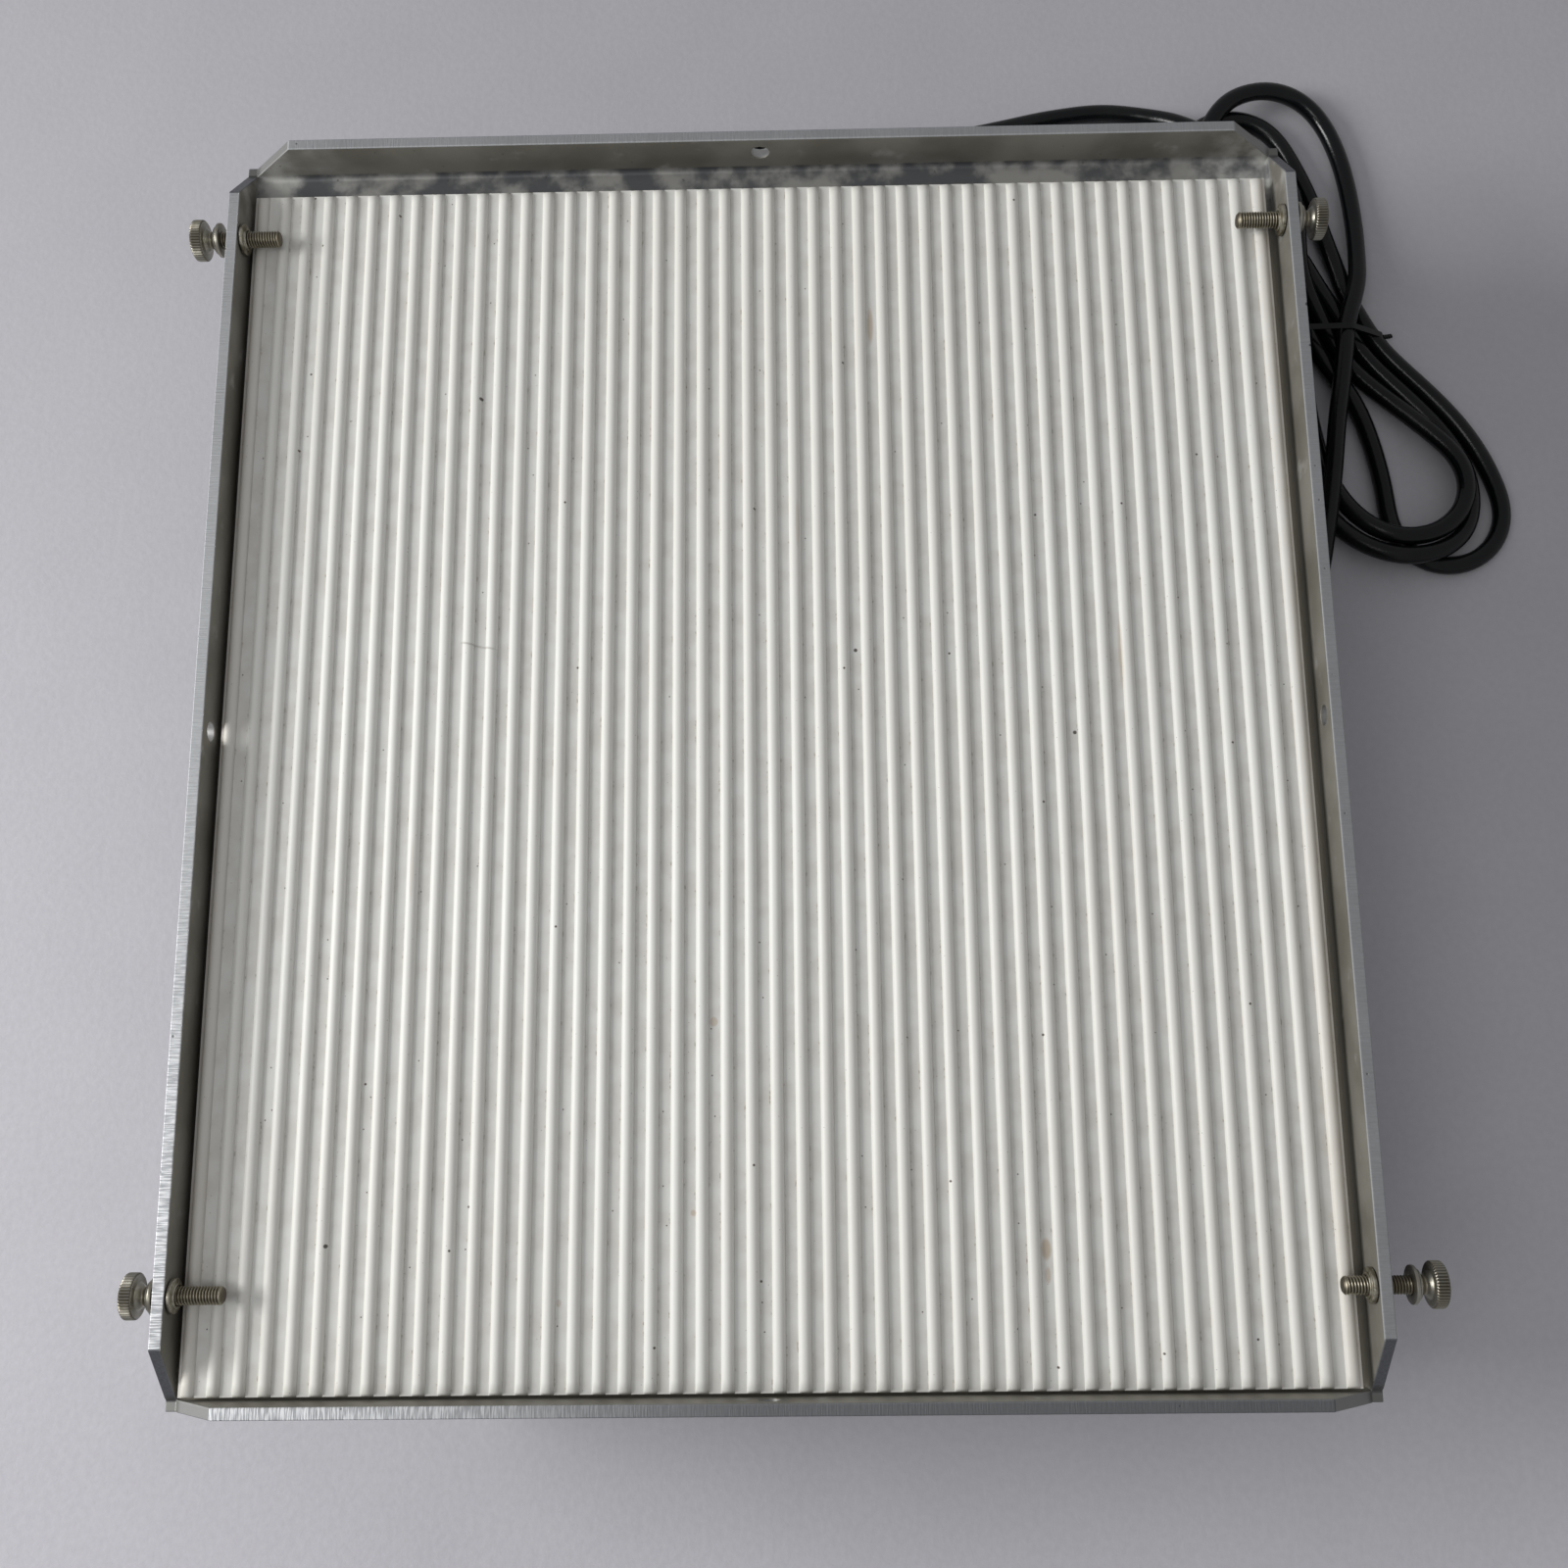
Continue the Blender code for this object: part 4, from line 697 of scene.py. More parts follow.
# the slanting ends were cut last, at 45 degrees, and are darker
end_side = abs(abs(y) + z - (SLANT_Y + RIM)).step(0.6, 0.3) * side_flange
end_front = abs(abs(x) + z - (SLANT_X + RIM)).step(0.6, 0.3) * (1 - side_flange)
filed = mill.mix(fine, (0.10, 0.105, 0.115), (0.22, 0.225, 0.235))
colour = mill.mix(end_side, colour, filed)
colour = mill.mix(end_front * (1 - on_rim), colour, (0.30, 0.30, 0.29))
# painted shade: the corners where the flanges meet are painted dark
corner = abs(x).step(INNER_X - 2.1, INNER_X + 0.4)
corner = corner * abs(y).step(INNER_Y - 2.2, INNER_Y + 0.3)
colour = mill.mix(0.75 * corner, colour, (0.12, 0.12, 0.11))
for at, half in NICKS:
    nick = (near(x, y, at, half) + fine).step(1.6, 0.7) * z.step(RIM - 1.6, RIM - 0.8)
    colour = mill.mix(0.8 * nick, colour, (0.03, 0.03, 0.035))
colour = mill.mix(pits * 0.4, colour, (0.10, 0.095, 0.085))
roughness = 0.42 + 0.15 * cloud + 0.12 * on_rim + 0.10 * inside + 0.25 * bloom + 0.3 * pits
mill.set(Base_Color=colour, Roughness=roughness, Metallic=1 - 0.5 * inside)
rolled = (1 - on_rim) * (0.25 * drawn + 0.2 * rubbed + 0.1 * fine)
mill.bump(rolled + on_rim * 0.8 * shear - 0.6 * pits, 0.00012)
worn_copy("tray", "tray_sheet", mill, 0.35)

# ---- Ribbed diffuser ----
# An extruded sheet of opal plastic with 46 half-round ribs, sawn to length and laid loose
# on the glass. It has yellowed, and dirt and old drips lie between its ribs.
class Shape(Graph):
    """A geometry node tree with named inputs, run once on an object."""

    def __init__(self, name, **inputs):
        tree = bpy.data.node_groups.new(name, "GeometryNodeTree")
        super().__init__(tree)
        tree.interface.new_socket("Geometry", in_out="OUTPUT", socket_type="NodeSocketGeometry")
        tree.interface.new_socket("Geometry", in_out="INPUT", socket_type="NodeSocketGeometry")
        self.inputs = {}
        for label, value in inputs.items():
            kind = "NodeSocketInt" if isinstance(value, int) else "NodeSocketFloat"
            socket = tree.interface.new_socket(label, in_out="INPUT", socket_type=kind)
            self.inputs[label] = (socket.identifier, value)
        self.entry = tree.nodes.new("NodeGroupInput")
        self.exit = tree.nodes.new("NodeGroupOutput")
        self.geometry = Wire(self, self.entry.outputs["Geometry"])

    def given(self):
        """A wire from each named input, in their order."""
        return [Wire(self, self.entry.outputs[label]) for label in self.inputs]

    def finish(self, geometry, finish):
        """Ends the tree with real, finished faces."""
        real = self.node("GeometryNodeRealizeInstances", {0: geometry})
        done = self.node("GeometryNodeSetMaterial", {0: real, "Material": finish.material})
        self.feed(self.exit.inputs[0], done)

    def build(self, name, smooth_below, mesh=None):
        """The plain mesh that the tree makes, as an object."""
        start = add_object(name + "_start", mesh or bpy.data.meshes.new(name))
        modifier = start.modifiers.new("shape", "NODES")
        modifier.node_group = self.tree
        for identifier, value in self.inputs.values():
            modifier[identifier] = value
        made = plain_mesh(start)
        made.shade_smooth()
        made.set_sharp_from_angle(angle=math.radians(smooth_below))
        return add_object(name, made)


SHEET = 1.7
RIB_PITCH, RIB_WIDTH, RIB_HEIGHT = 6.7, 3.5, 1.4
RIBS = 46
COLUMNS, VALLEY_COLUMNS = 14, 3.0  # for each rib, and how many of them lie on each side of it
SCRATCH_AT, SCRATCH_RUN = (-81.6, 24.8), (0.975, -0.22)
BLACK_DOTS = [(-83.0, 101.0), (26.0, 22.0), (87.0, -3.0), (-117.0, -140.0)]
# drips and spots: place, half sizes (mm), how strong
DRIPS = [
    ((32.3, 122.7), (1.0, 6.5), 0.55), ((72.7, -142.5), (1.5, 3.2), 0.65),
    ((72.9, -149.0), (0.9, 2.4), 0.45), ((-14.5, -82.3), (1.3, 1.5), 0.5),
    ((-19.9, -132.4), (0.9, 1.0), 0.5), ((-55.2, -155.0), (0.8, 1.1), 0.4),
    ((10.0, 60.0), (0.7, 9.0), 0.25), ((101.0, 20.0), (0.7, 12.0), 0.28),
    ((-98.0, -40.0), (0.7, 10.0), 0.2),
]

opal = Finish("opal_plastic", Specular_IOR_Level=0.42)
x, y, z = opal.where()
low, high, middle = box("ribbed_diffuser")
from_middle = x - middle.x / MM
from_rib = abs((from_middle / RIB_PITCH).math("FRACT") - 0.5) * RIB_PITCH
valley = from_rib.step(RIB_WIDTH / 2 - 0.2, RIB_WIDTH / 2 + 0.1)
foot = abs(from_rib - RIB_WIDTH / 2 - 0.2).step(0.3, 0.05)
age = opal.noise(9.0, 4.0)
streak = opal.noise(1.0, 4.0, (420.0, 11.0, 420.0))
grime = opal.noise(140.0, 5.0)
crumbs = opal.noise(1.0, 5.0, (900.0, 650.0, 900.0))
colour = opal.mix(age.step(0.3, 0.7), (0.705, 0.704, 0.668), (0.680, 0.672, 0.622))
colour = opal.mix(streak.step(0.56, 0.8) * 0.3, colour, (0.60, 0.555, 0.47))
in_valley = opal.mix(grime.step(0.35, 0.7), (0.655, 0.656, 0.628), (0.575, 0.560, 0.515))
colour = opal.mix(valley * 0.8, colour, in_valley)
caked = foot * grime.step(0.45, 0.65) * crumbs.step(0.54, 0.66)
colour = opal.mix(caked * 0.6, colour, (0.24, 0.20, 0.14))
edge = (high.x - middle.x) / MM
near_edge = abs(from_middle).step(edge - 7, edge)
colour = opal.mix(near_edge * (0.12 + 0.3 * grime), colour, (0.52, 0.43, 0.34))
for at, half, strength in DRIPS:
    drip = (near(x, y, at, half) + 0.9 * (grime - 0.5)).step(1.1, 0.25)
    colour = opal.mix(drip * strength, colour, (0.42, 0.32, 0.20))
for at_x, at_y in BLACK_DOTS:
    away = ((x - at_x) ** 2 + (y - at_y) ** 2) ** 0.5
    colour = opal.mix(away.step(0.65, 0.4) * 0.9, colour, (0.05, 0.04, 0.03))
dots = opal.specks(38.0, 0.42 * MM, 0.20, "2D")
specks = opal.specks(75.0, 0.26 * MM, 0.18, "2D")
dust = opal.specks(330.0, 0.15 * MM, 0.06, "2D")
dirt = (dots + specks + dust * 0.6).math("MINIMUM", 1.0)
colour = opal.mix(dirt, colour, (0.09, 0.07, 0.05))
# one scratch across a few ribs at the left
from_x, from_y = x - SCRATCH_AT[0], y - SCRATCH_AT[1]
along = from_x * SCRATCH_RUN[0] + from_y * SCRATCH_RUN[1]
across = from_y * SCRATCH_RUN[0] - from_x * SCRATCH_RUN[1] + 0.6 * (grime - 0.5)
scratch = abs(across).step(0.35, 0.1) * abs(along).step(6.0, 4.0)
colour = opal.mix(scratch * 0.5, colour, (0.36, 0.33, 0.28))
opal.set(Base_Color=colour, Roughness=0.38 + 0.16 * grime + 0.1 * valley)
opal.bump(0.35 * opal.noise(700.0, 3.0) + 0.5 * streak - 1.2 * scratch, 0.00009)

sheet = Shape(
    "ribbed_sheet", width=high.x - low.x, length=high.y - low.y, thickness=SHEET * MM,
    pitch=RIB_PITCH * MM, ribs=float(RIBS), rib_width=RIB_WIDTH * MM, rib_height=RIB_HEIGHT * MM,
    end_rounding=1.3 * MM, columns=COLUMNS * RIBS + 1, rows=33,
    middle_x=middle.x, middle_y=middle.y, bottom=low.z,
)
(
    width, length, thickness, pitch, ribs, rib_width, rib_height,
    rounding, columns, rows, middle_x, middle_y, bottom,
) = sheet.given()
size = sheet.node("ShaderNodeCombineXYZ", {0: width, 1: length, 2: thickness})
counts = {"Vertices X": columns, "Vertices Y": rows, "Vertices Z": 2}
block = sheet.node("GeometryNodeMeshCube", {"Size": size, **counts})
px, py, pz = sheet.node("GeometryNodeInputPosition").parts()
# rows lie closer together towards the two sawn ends
new_y = (py / length * math.pi).math("SINE") * length * 0.5
# the middle columns of each rib go over its arch, the others lie in the valleys beside it
turn = px / width * ribs
step = turn.math("FRACT") * float(COLUMNS)
arch = (step - VALLEY_COLUMNS) / (COLUMNS - 2 * VALLEY_COLUMNS)
arch = arch.math("MAXIMUM", 0.0).math("MINIMUM", 1.0) * math.pi
beside = (step - (COLUMNS - VALLEY_COLUMNS)).math("MAXIMUM", 0.0)
beside = (beside - (VALLEY_COLUMNS - step).math("MAXIMUM", 0.0)) / VALLEY_COLUMNS
over = beside * (pitch - rib_width) * 0.5 - arch.math("COSINE") * rib_width * 0.5
new_x = (turn.math("FLOOR") + 0.5) * pitch + over
# the last valley on each side is narrower, out to the edge of the sheet
last = ribs * 0.5 * pitch - (pitch - rib_width) * 0.5
narrow = (width * 0.5 - last) / ((pitch - rib_width) * 0.5)
reach = abs(new_x).math("MINIMUM", last + (abs(new_x) - last) * narrow)
from_end = ((length * 0.5 - abs(new_y)) / rounding).math("MINIMUM", 1.0)
round_end = (1 - (1 - from_end) ** 2).math("MAXIMUM", 0.0) ** 0.5
wander = sheet.node("ShaderNodeCombineXYZ", {0: px * 18.0, 1: new_y * 9.0, 2: 3.7})
waves = sheet.node("ShaderNodeTexNoise", {"Vector": wander, "Scale": 1.0, "Detail": 1.0})
top = pz.step(-0.1 * MM, 0.1 * MM)
rise = rib_height * arch.math("SINE") * round_end + 0.12 * MM * (waves - 0.5) - 0.08 * MM
to_x = reach * new_x.math("SIGN") + (waves - 0.5) * 0.35 * MM * from_end + middle_x
to_z = pz + top * rise + thickness * 0.5 + bottom
moved = sheet.node("ShaderNodeCombineXYZ", {0: to_x, 1: new_y + middle_y, 2: to_z})
ribbed = sheet.node("GeometryNodeSetPosition", {"Geometry": block, "Position": moved})
sheet.finish(ribbed, opal)
diffuser = sheet.build("diffuser_sheet", 60.0)
stand_for(diffuser, "ribbed_diffuser")

# ---- Glass plate ----
# Cut window glass, 2.7 mm thick, with ground edges. It bridges the hole in the tray's floor
# and carries the diffuser. Only dust shows where it is uncovered.
def dress(finish, *nodes):
    """The CAD nodes keep their shape and get this finish."""
    for node in nodes:
        for slot in frame["nodes"][node].material_slots:
            slot.material = finish.material


glass = Finish("window_glass", Transmission_Weight=1.0, IOR=1.52)
x, y, z = glass.where()
low, high, middle = box("glass_plate")
edge_x, edge_y = high.x / MM, high.y / MM
ground = abs(x).step(edge_x - 0.6, edge_x - 0.3) + abs(y).step(edge_y - 0.6, edge_y - 0.3)
ground = ground.math("MINIMUM", 1.0)
dust = glass.noise(220.0, 5.0).step(0.5, 0.8)
glass.set(
    Base_Color=glass.mix(ground, (0.90, 0.96, 0.94), (0.45, 0.62, 0.55)),
    Roughness=0.02 + 0.10 * dust + 0.35 * ground,
)
glass.bump(dust, 0.00002)
dress(glass, "glass_plate")

# ---- Thumb screws ----
# Turned brass, nickel plated: a 10-32 thread, a thin shoulder, a hollow neck and a head with
# straight knurling. The plating has gone brown in the thread and dull on the head. All in mm.
CORNERS = ["front_left", "back_left", "front_right", "back_right"]
THREAD_RADIUS, THREAD_PITCH, THREAD_DEPTH = 2.415, 0.794, 0.46
SHANK = 17.4
HEAD_RADIUS, KNURLS, KNURL_DEPTH = 6.0, 44, 0.34
middle = box("screw_washer_front_left")[2]
SCREW_Y, SCREW_Z = -middle.y / MM, middle.z / MM

nickel = Finish("old_nickel", Metallic=1.0)
x, y, z = nickel.where()
radius = ((abs(y) - SCREW_Y) ** 2 + (z - SCREW_Z) ** 2) ** 0.5
in_thread = radius.step(2.55, 2.45)
in_root = in_thread * radius.step(2.35, 2.0)
in_knurl = radius.step(HEAD_RADIUS - 0.45, HEAD_RADIUS - 0.4)
in_knurl = in_knurl * radius.step(HEAD_RADIUS - 0.02, HEAD_RADIUS - 0.25)
stain = nickel.noise(330.0, 4.0)
rub = nickel.noise(90.0, 3.0)
colour = nickel.mix(rub.step(0.35, 0.7), (0.40, 0.39, 0.34), (0.27, 0.255, 0.205))
colour = nickel.mix(stain.step(0.55, 0.75) * 0.6, colour, (0.24, 0.20, 0.13))
colour = nickel.mix(in_thread * (0.35 + 0.5 * stain), colour, (0.31, 0.275, 0.20))
colour = nickel.mix(in_root * 0.7 + 0.6 * in_knurl, colour, (0.075, 0.06, 0.04))
nickel.set(Base_Color=colour, Roughness=0.20 + 0.22 * stain + 0.15 * rub + 0.08 * in_thread)
nickel.bump(nickel.noise(900.0, 3.0), 0.00003)

turned = Shape(
    "thread_and_knurl", thread_pitch=THREAD_PITCH * MM, thread_depth=THREAD_DEPTH * MM,
    thread_radius=THREAD_RADIUS * MM, thread_start=(0.5 - SHANK) * MM, thread_end=0.9 * MM,
    knurls=float(KNURLS), knurl_depth=KNURL_DEPTH * MM, knurl_radius=(HEAD_RADIUS - 0.3) * MM,
)
(
    thread_pitch, thread_depth, thread_radius, thread_start, thread_end,
    knurls, knurl_depth, knurl_radius,
) = turned.given()
px, py, pz = turned.node("GeometryNodeInputPosition").parts()
radius = (py**2 + pz**2) ** 0.5
angle = pz.math("ARCTAN2", py)
# the groove winds once round the shank for each pitch along it
winding = (px / thread_pitch - angle / (2 * math.pi)).math("FRACT")
groove = (abs(winding - 0.5) * 2.0).step(0.9, 0.05)
threaded = px.step(thread_start, thread_start + 0.5 * MM) * px.step(thread_end, thread_end - 0.5 * MM)
threaded = threaded * radius.step(thread_radius + 0.2 * MM, thread_radius + 0.1 * MM)
ridge = 0.5 + 0.5 * (angle * knurls).math("COSINE")
knurled = radius.step(knurl_radius - 0.15 * MM, knurl_radius) * (1 - ridge)
sunk = (threaded * groove * thread_depth + knurled * knurl_depth) / radius
cut = turned.node("ShaderNodeCombineXYZ", {0: px, 1: py * (1 - sunk), 2: pz * (1 - sunk)})
shaped = turned.node("GeometryNodeSetPosition", {"Geometry": turned.geometry, "Position": cut})
turned.finish(shaped, nickel)

# along the axis from the washer's inner face, and radius
rings = [(-SHANK, 0.5), (-SHANK, 1.75), (0.2 - SHANK, 2.0), (0.6 - SHANK, THREAD_RADIUS)]
rings += [(along, THREAD_RADIUS) for along in np.arange(0.7 - SHANK, 1.25, THREAD_PITCH / 8)]
shank = lathe(rings, 48, (0, 0, 0), (1, 0, 0))
rings = [(1.3, 2.3), (1.3, 3.9), (1.38, 4.05), (1.5, 4.1), (1.7, 4.1), (1.85, 3.98), (2.1, 3.55)]
rings += [(2.4, 3.05), (2.7, 2.68), (2.95, 2.47), (3.2, 2.4), (3.4, 2.45), (3.6, 2.65), (3.85, 2.95)]
rings += [(4.15, 3.25), (4.45, 3.5), (4.72, 3.7), (4.8, 3.85), (4.8, 5.35), (4.9, 5.55), (5.2, 5.95)]
rings += [(along, HEAD_RADIUS) for along in (5.4, 6.0, 6.6, 7.2, 7.7)]
rings += [(7.9, 5.95), (8.2, 5.55), (8.3, 5.35), (8.3, 4.5), (8.2, 4.35), (8.2, 0.8), (8.1, 0.4)]
head = lathe(rings, 4 * KNURLS, (0, 0, 0), (1, 0, 0))
data = bpy.data.meshes.new("screw_blank")
shank.to_mesh(data)
head.from_mesh(data)
head.to_mesh(data)
pattern = turned.build("thumb_screw", 35.0, data)
for number, corner in enumerate(CORNERS):
    low, high, middle = box("screw_washer_" + corner)
    right = middle.x > 0
    place = Matrix.Translation((low.x if right else high.x, middle.y, middle.z))
    facing = Matrix.Rotation(0.0 if right else math.pi, 4, "Z")
    wound = Matrix.Rotation(0.7 + 1.9 * number, 4, "X")
    data = pattern.data.copy()
    data.transform(place @ facing @ wound)
    stand_for(add_object("knurled_screw_" + corner, data), "thumb_screw_" + corner)
bpy.data.objects.remove(pattern)

# ---- Washers and clinch nuts ----
# A turned washer lies against the shoulder of each screw. The steel nuts are pressed into
# the flanges from inside, nickel plated, and have tarnished.
def turned_ring(name, profile, at, axis, finish):
    """A turned shape with a bore: a closed profile of (along, radius) round the axis."""
    bm = lathe(profile + profile[:1], 64, at, axis)
    caps = [face for face in bm.faces if len(face.verts) > 4]
    bmesh.ops.delete(bm, geom=caps, context="FACES_ONLY")
    bmesh.ops.remove_doubles(bm, verts=bm.verts, dist=0.001 * MM)
    bmesh.ops.recalc_face_normals(bm, faces=bm.faces)
    return build_mesh(name, bm, finish, 35.0)


brown = Finish("brown_nickel", Metallic=1.0)
stain = brown.noise(420.0, 5.0)
crust = brown.noise(900.0, 3.0)
colour = brown.mix(stain.step(0.35, 0.62), (0.44, 0.42, 0.355), (0.20, 0.18, 0.13))
colour = brown.mix(crust.step(0.62, 0.72) * 0.7, colour, (0.66, 0.64, 0.58))
brown.set(Base_Color=colour, Roughness=0.34 + 0.3 * stain)
brown.bump(0.6 * stain + 0.4 * crust, 0.00012)

BORE = THREAD_RADIUS + 0.1
low, high, middle = box("clinch_nut_front_left")
NUT_HEIGHT = (high.x - low.x) / MM
WASHER = [(0.0, BORE + 0.1), (0.1, BORE), (0.9, BORE), (1.0, BORE + 0.1), (1.0, 4.8)]
WASHER += [(0.93, 4.95), (0.8, 5.0), (0.2, 5.0), (0.07, 4.95), (0.0, 4.8)]
NUT = [(0.0, BORE + 0.25), (0.25, BORE), (NUT_HEIGHT, BORE), (NUT_HEIGHT, 3.1), (1.7, 3.1)]
NUT += [(1.7, 4.3), (1.62, 4.5), (1.45, 4.6), (0.9, 4.6), (0.7, 4.5), (0.6, 4.3), (0.6, 3.6)]
NUT += [(0.5, 3.45), (0.15, 3.4), (0.0, 3.2)]
for corner in CORNERS:
    for node, name, profile, finish, slot in (
        ("screw_washer_", "washer_", WASHER, nickel, "nickel"),
        ("clinch_nut_", "nut_", NUT, brown, "tarnished_nickel"),
    ):
        low, high, middle = box(node + corner)
        right = middle.x > 0
        at = Vector((low.x if right else high.x, middle.y, middle.z)) / MM
        piece = turned_ring(name + corner, profile, at, (1 if right else -1, 0, 0), finish)
        stand_for(piece, node + corner)

# ---- Lamp housing ----
# A folded box of 1.6 mm steel with vents punched along its walls, sprayed with a grey
# enamel that dried with a fine orange peel and has chipped along its folds.
def enamel(name, light, dark, gloss, metal=(0.35, 0.34, 0.32)):
    """Sprayed and baked paint on sheet metal, with small chips down to the metal."""
    paint = Finish(name)
    cloud = paint.noise(16.0, 4.0)
    peel = paint.noise(520.0, 2.0)
    scuff = paint.noise(1.0, 4.0, (30.0, 30.0, 420.0))
    chips = paint.specks(36.0, 0.8 * MM, 0.07) + paint.specks(95.0, 0.35 * MM, 0.05)
    chips = chips.math("MINIMUM", 1.0)
    colour = paint.mix(cloud.step(0.3, 0.7), dark, light)
    colour = paint.mix(scuff.step(0.62, 0.8) * 0.3, colour, [0.5 * value for value in dark])
    paint.set(
        Base_Color=paint.mix(chips, colour, metal),
        Metallic=chips * 0.9,
        Roughness=gloss + 0.12 * cloud + 0.15 * scuff,
    )
    paint.bump(0.5 * peel - 1.4 * chips, 0.00011)
    return paint


grey_enamel = enamel("grey_enamel", (0.135, 0.14, 0.145), (0.105, 0.108, 0.112), 0.34)
worn_copy("lamp_housing", "housing_shell", grey_enamel, 0.35)

# ---- Base plate, feet and screws ----
# The housing is closed from below with a brushed aluminium plate on four rubber feet. Each
# foot hides a screw in its recess, and plain zinc screws hold the plate and the tray.
brushed = Finish("brushed_plate", Metallic=1.0)
lines = brushed.noise(1.0, 4.0, (18.0, 1500.0, 300.0))
cloud = brushed.noise(20.0, 4.0)
colour = brushed.mix(lines, (0.44, 0.44, 0.43), (0.62, 0.62, 0.61))
brushed.set(Base_Color=brushed.mix(cloud.step(0.55, 0.8) * 0.5, colour, (0.36, 0.35, 0.33)))
brushed.set(Roughness=0.30 + 0.2 * cloud + 0.1 * lines)
brushed.bump(lines, 0.00006)
dress(brushed, "base_plate")


def moulded(name, sheen, clouds, span, tones, rough, grain, depth):
    """Rubber or plastic: two tones in clouds, a roughness that follows them, a fine grain."""
    skin = Finish(name, Specular_IOR_Level=sheen)
    cloud = skin.noise(*clouds)
    skin.set(Base_Color=skin.mix(cloud.step(*span), *tones), Roughness=rough[0] + rough[1] * cloud)
    skin.bump(skin.noise(*grain), depth)
    return skin


rubber = moulded(
    "foot_rubber", sheen=0.35, clouds=(160.0, 5.0), span=(0.5, 0.8), rough=(0.62, 0.2),
    tones=((0.012, 0.012, 0.012), (0.05, 0.048, 0.045)), grain=(800.0, 3.0), depth=0.00008,
)

zinc = Finish("zinc_plate", Metallic=1.0)
spangle = zinc.noise(240.0, 4.0)
colour = zinc.mix(spangle.step(0.35, 0.65), (0.62, 0.62, 0.60), (0.46, 0.465, 0.47))
zinc.set(Base_Color=zinc.mix(zinc.noise(700.0, 3.0).step(0.6, 0.75) * 0.6, colour, (0.7, 0.69, 0.66)))
zinc.set(Roughness=0.28 + 0.25 * spangle)
zinc.bump(spangle, 0.00004)

PAN_HEAD, SHANK_RADIUS = 2.2, 2.0
CROSS_REACH, CROSS_HALF_WIDE, CROSS_DEPTH = 1.9, 0.42, 1.5
# height and radius: up through the recess and the screw's hole, and down the outside
FOOT = [(0.0, 4.9), (0.15, 4.65), (0.5, 4.6), (3.0, 4.6), (3.0, 2.35), (8.0, 2.35), (8.0, 8.4)]
FOOT += [(7.85, 8.75), (7.4, 8.93), (5.0, 8.62), (2.5, 8.31), (0.7, 8.05), (0.25, 7.85)]
FOOT += [(0.0, 7.4), (0.0, 6.7), (0.25, 6.5), (0.25, 6.0), (0.0, 5.8)]


def pan_screw(node):
    """A pan-head screw, pointing up, with a cross recess cut into its rounded head."""
    low, high, middle = box(node)
    at = Vector((middle.x, middle.y, low.z)) / MM
    wide, long = (high.x - middle.x) / MM, (high.z - low.z) / MM
    rings = [(0.0, 0.25 * k) for k in range(1, 10)]
    rings += [(0.06, wide - 1.1), (0.25, wide - 0.55), (0.6, wide - 0.18), (1.1, wide)]
    rings += [(PAN_HEAD, wide), (PAN_HEAD, SHANK_RADIUS), (long - 0.6, SHANK_RADIUS), (long, 1.5)]
    bm = lathe(rings, 48, at, (0, 0, 1))
    for vertex in bm.verts:
        x, y, z = vertex.co / MM - at
        out, beside = max(abs(x), abs(y)), min(abs(x), abs(y))
        if z < 0.01 and out < CROSS_REACH and beside < CROSS_HALF_WIDE:
            vertex.co.z += (CROSS_DEPTH - 0.45 * out) * MM
    stand_for(build_mesh(node + "_cross", bm, zinc, 35.0), node)


for number in range(1, 5):
    low, high, middle = box(f"foot_{number}")
    at = Vector((middle.x, middle.y, 0)) / MM
    piece = turned_ring(f"rubber_foot_{number}", FOOT, at, (0, 0, 1), rubber)
    stand_for(piece, f"foot_{number}")
    pan_screw(f"foot_screw_{number}")
    pan_screw(f"base_screw_{number}")
    dress(zinc, f"tray_screw_{number}")

# ---- Reflector, lamps and holders ----
# A white enamelled trough of thin sheet under four straight lamps. Each lamp is a phosphor
# coated tube with crimped aluminium caps, held at both ends in moulded white holders.
white_enamel = enamel("white_enamel", (0.80, 0.80, 0.77), (0.72, 0.715, 0.67), 0.30)
dress(white_enamel, "reflector")

PINS = 7.0  # the length that the pins add to each end
CAP, CAP_CRIMP, SOOT = 9.0, 7.0, 34.0  # how far they reach from the end of the cap
tube = Finish("lamp_tube")
x, y, z = tube.where()
low, high, middle = box("lamp_1")
from_end = (high.y - middle.y) / MM - PINS - abs(y)
cap = from_end.step(CAP + 0.1, CAP - 0.1)
sooty = from_end.step(SOOT, CAP) * (1 - cap)
cloud = tube.noise(60.0, 4.0)
colour = tube.mix(cloud, (0.80, 0.80, 0.775), (0.85, 0.85, 0.83))
colour = tube.mix(sooty**2 * 0.55, colour, (0.30, 0.28, 0.26))
tube.set(
    Base_Color=tube.mix(cap, colour, (0.60, 0.60, 0.58)),
    Metallic=cap,
    Roughness=0.12 + 0.22 * cap + 0.1 * cloud,
)
crimp = abs(from_end - CAP_CRIMP).step(0.6, 0.2)
tube.bump(0.2 * cloud - 1.0 * crimp, 0.0002)

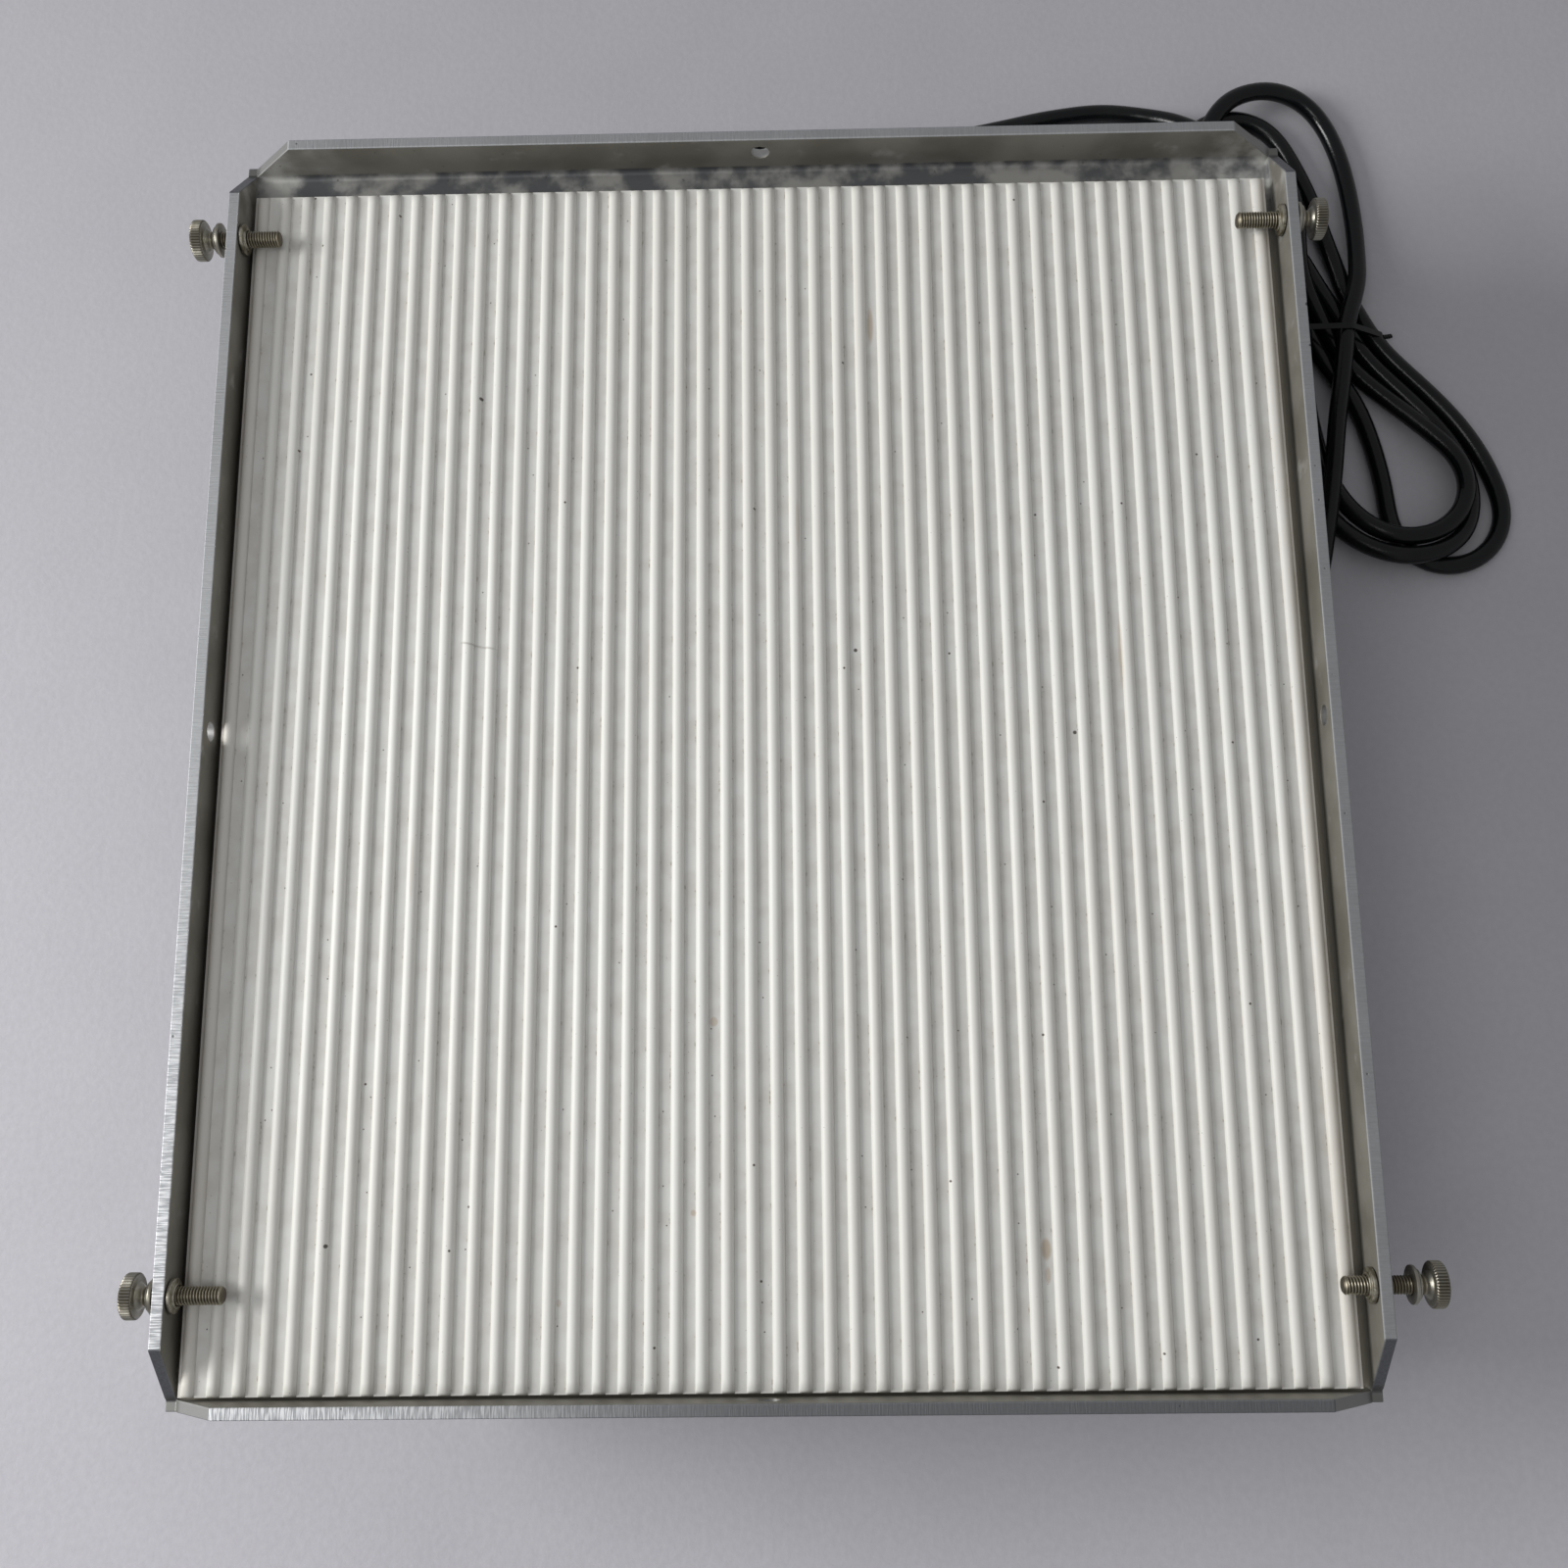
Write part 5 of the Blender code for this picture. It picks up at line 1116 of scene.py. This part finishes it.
white_plastic = moulded(
    "moulded_white", sheen=0.45, clouds=(45.0, 4.0), span=(0.3, 0.7), rough=(0.36, 0.16),
    tones=((0.72, 0.71, 0.66), (0.80, 0.795, 0.76)), grain=(650.0, 2.0), depth=0.00005,
)
for number in range(1, 5):
    dress(tube, f"lamp_{number}")
    dress(white_plastic, f"holder_{number}_front", f"holder_{number}_back")

# ---- Ballasts and wiring ----
# Two ballasts of plain lacquered steel on the base plate, a moulded terminal block, and the
# lead's inner end between the strain relief and the block.
dark_steel = enamel("dark_steel", (0.30, 0.30, 0.305), (0.24, 0.24, 0.245), 0.36, (0.5, 0.5, 0.49))
dress(dark_steel, "ballast_left", "ballast_right")
dress(white_plastic, "terminal_block")
dress(pvc, "inner_lead")

# ---- Switch ----
# A snap-in rocker switch in the housing's front wall: a ribbed black bezel and a glossy
# rocker with the plain marks I and O moulded in white.
black_plastic = moulded(
    "black_plastic", sheen=0.45, clouds=(70.0, 4.0), span=(0.4, 0.75), rough=(0.40, 0.18),
    tones=((0.014, 0.014, 0.015), (0.035, 0.034, 0.033)), grain=(1100.0, 2.0), depth=0.00006,
)
worn_copy("switch_body", "switch_bezel", black_plastic, 0.25, segments=3)

MARK_OUT, LINE_HALF, RING_RADIUS, STROKE = 5.2, 1.7, 1.45, 0.3
gloss = Finish("rocker_plastic", Specular_IOR_Level=0.5)
x, y, z = gloss.where()
low, high, middle = (corner / MM for corner in box("switch_rocker"))
mark_z = z - middle.z
line_x = x - middle.x - MARK_OUT
ring_x = x - middle.x + MARK_OUT
on_face = y.step(low.y + 3.2, low.y + 2.8)
bar = abs(line_x).step(STROKE + 0.04, STROKE - 0.04)
bar = bar * abs(mark_z).step(LINE_HALF + 0.05, LINE_HALF - 0.05)
ring = abs((ring_x**2 + mark_z**2) ** 0.5 - RING_RADIUS).step(STROKE + 0.04, STROKE - 0.06)
wipe = gloss.noise(110.0, 4.0)
colour = gloss.mix(wipe.step(0.5, 0.8), (0.010, 0.010, 0.011), (0.028, 0.028, 0.027))
colour = gloss.mix((bar + ring) * on_face, colour, (0.72, 0.72, 0.70))
gloss.set(Base_Color=colour, Roughness=0.14 + 0.2 * wipe)
gloss.bump(wipe, 0.00002)
worn_copy("switch_rocker", "rocker_face", gloss, 0.25, segments=3)

low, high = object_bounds()
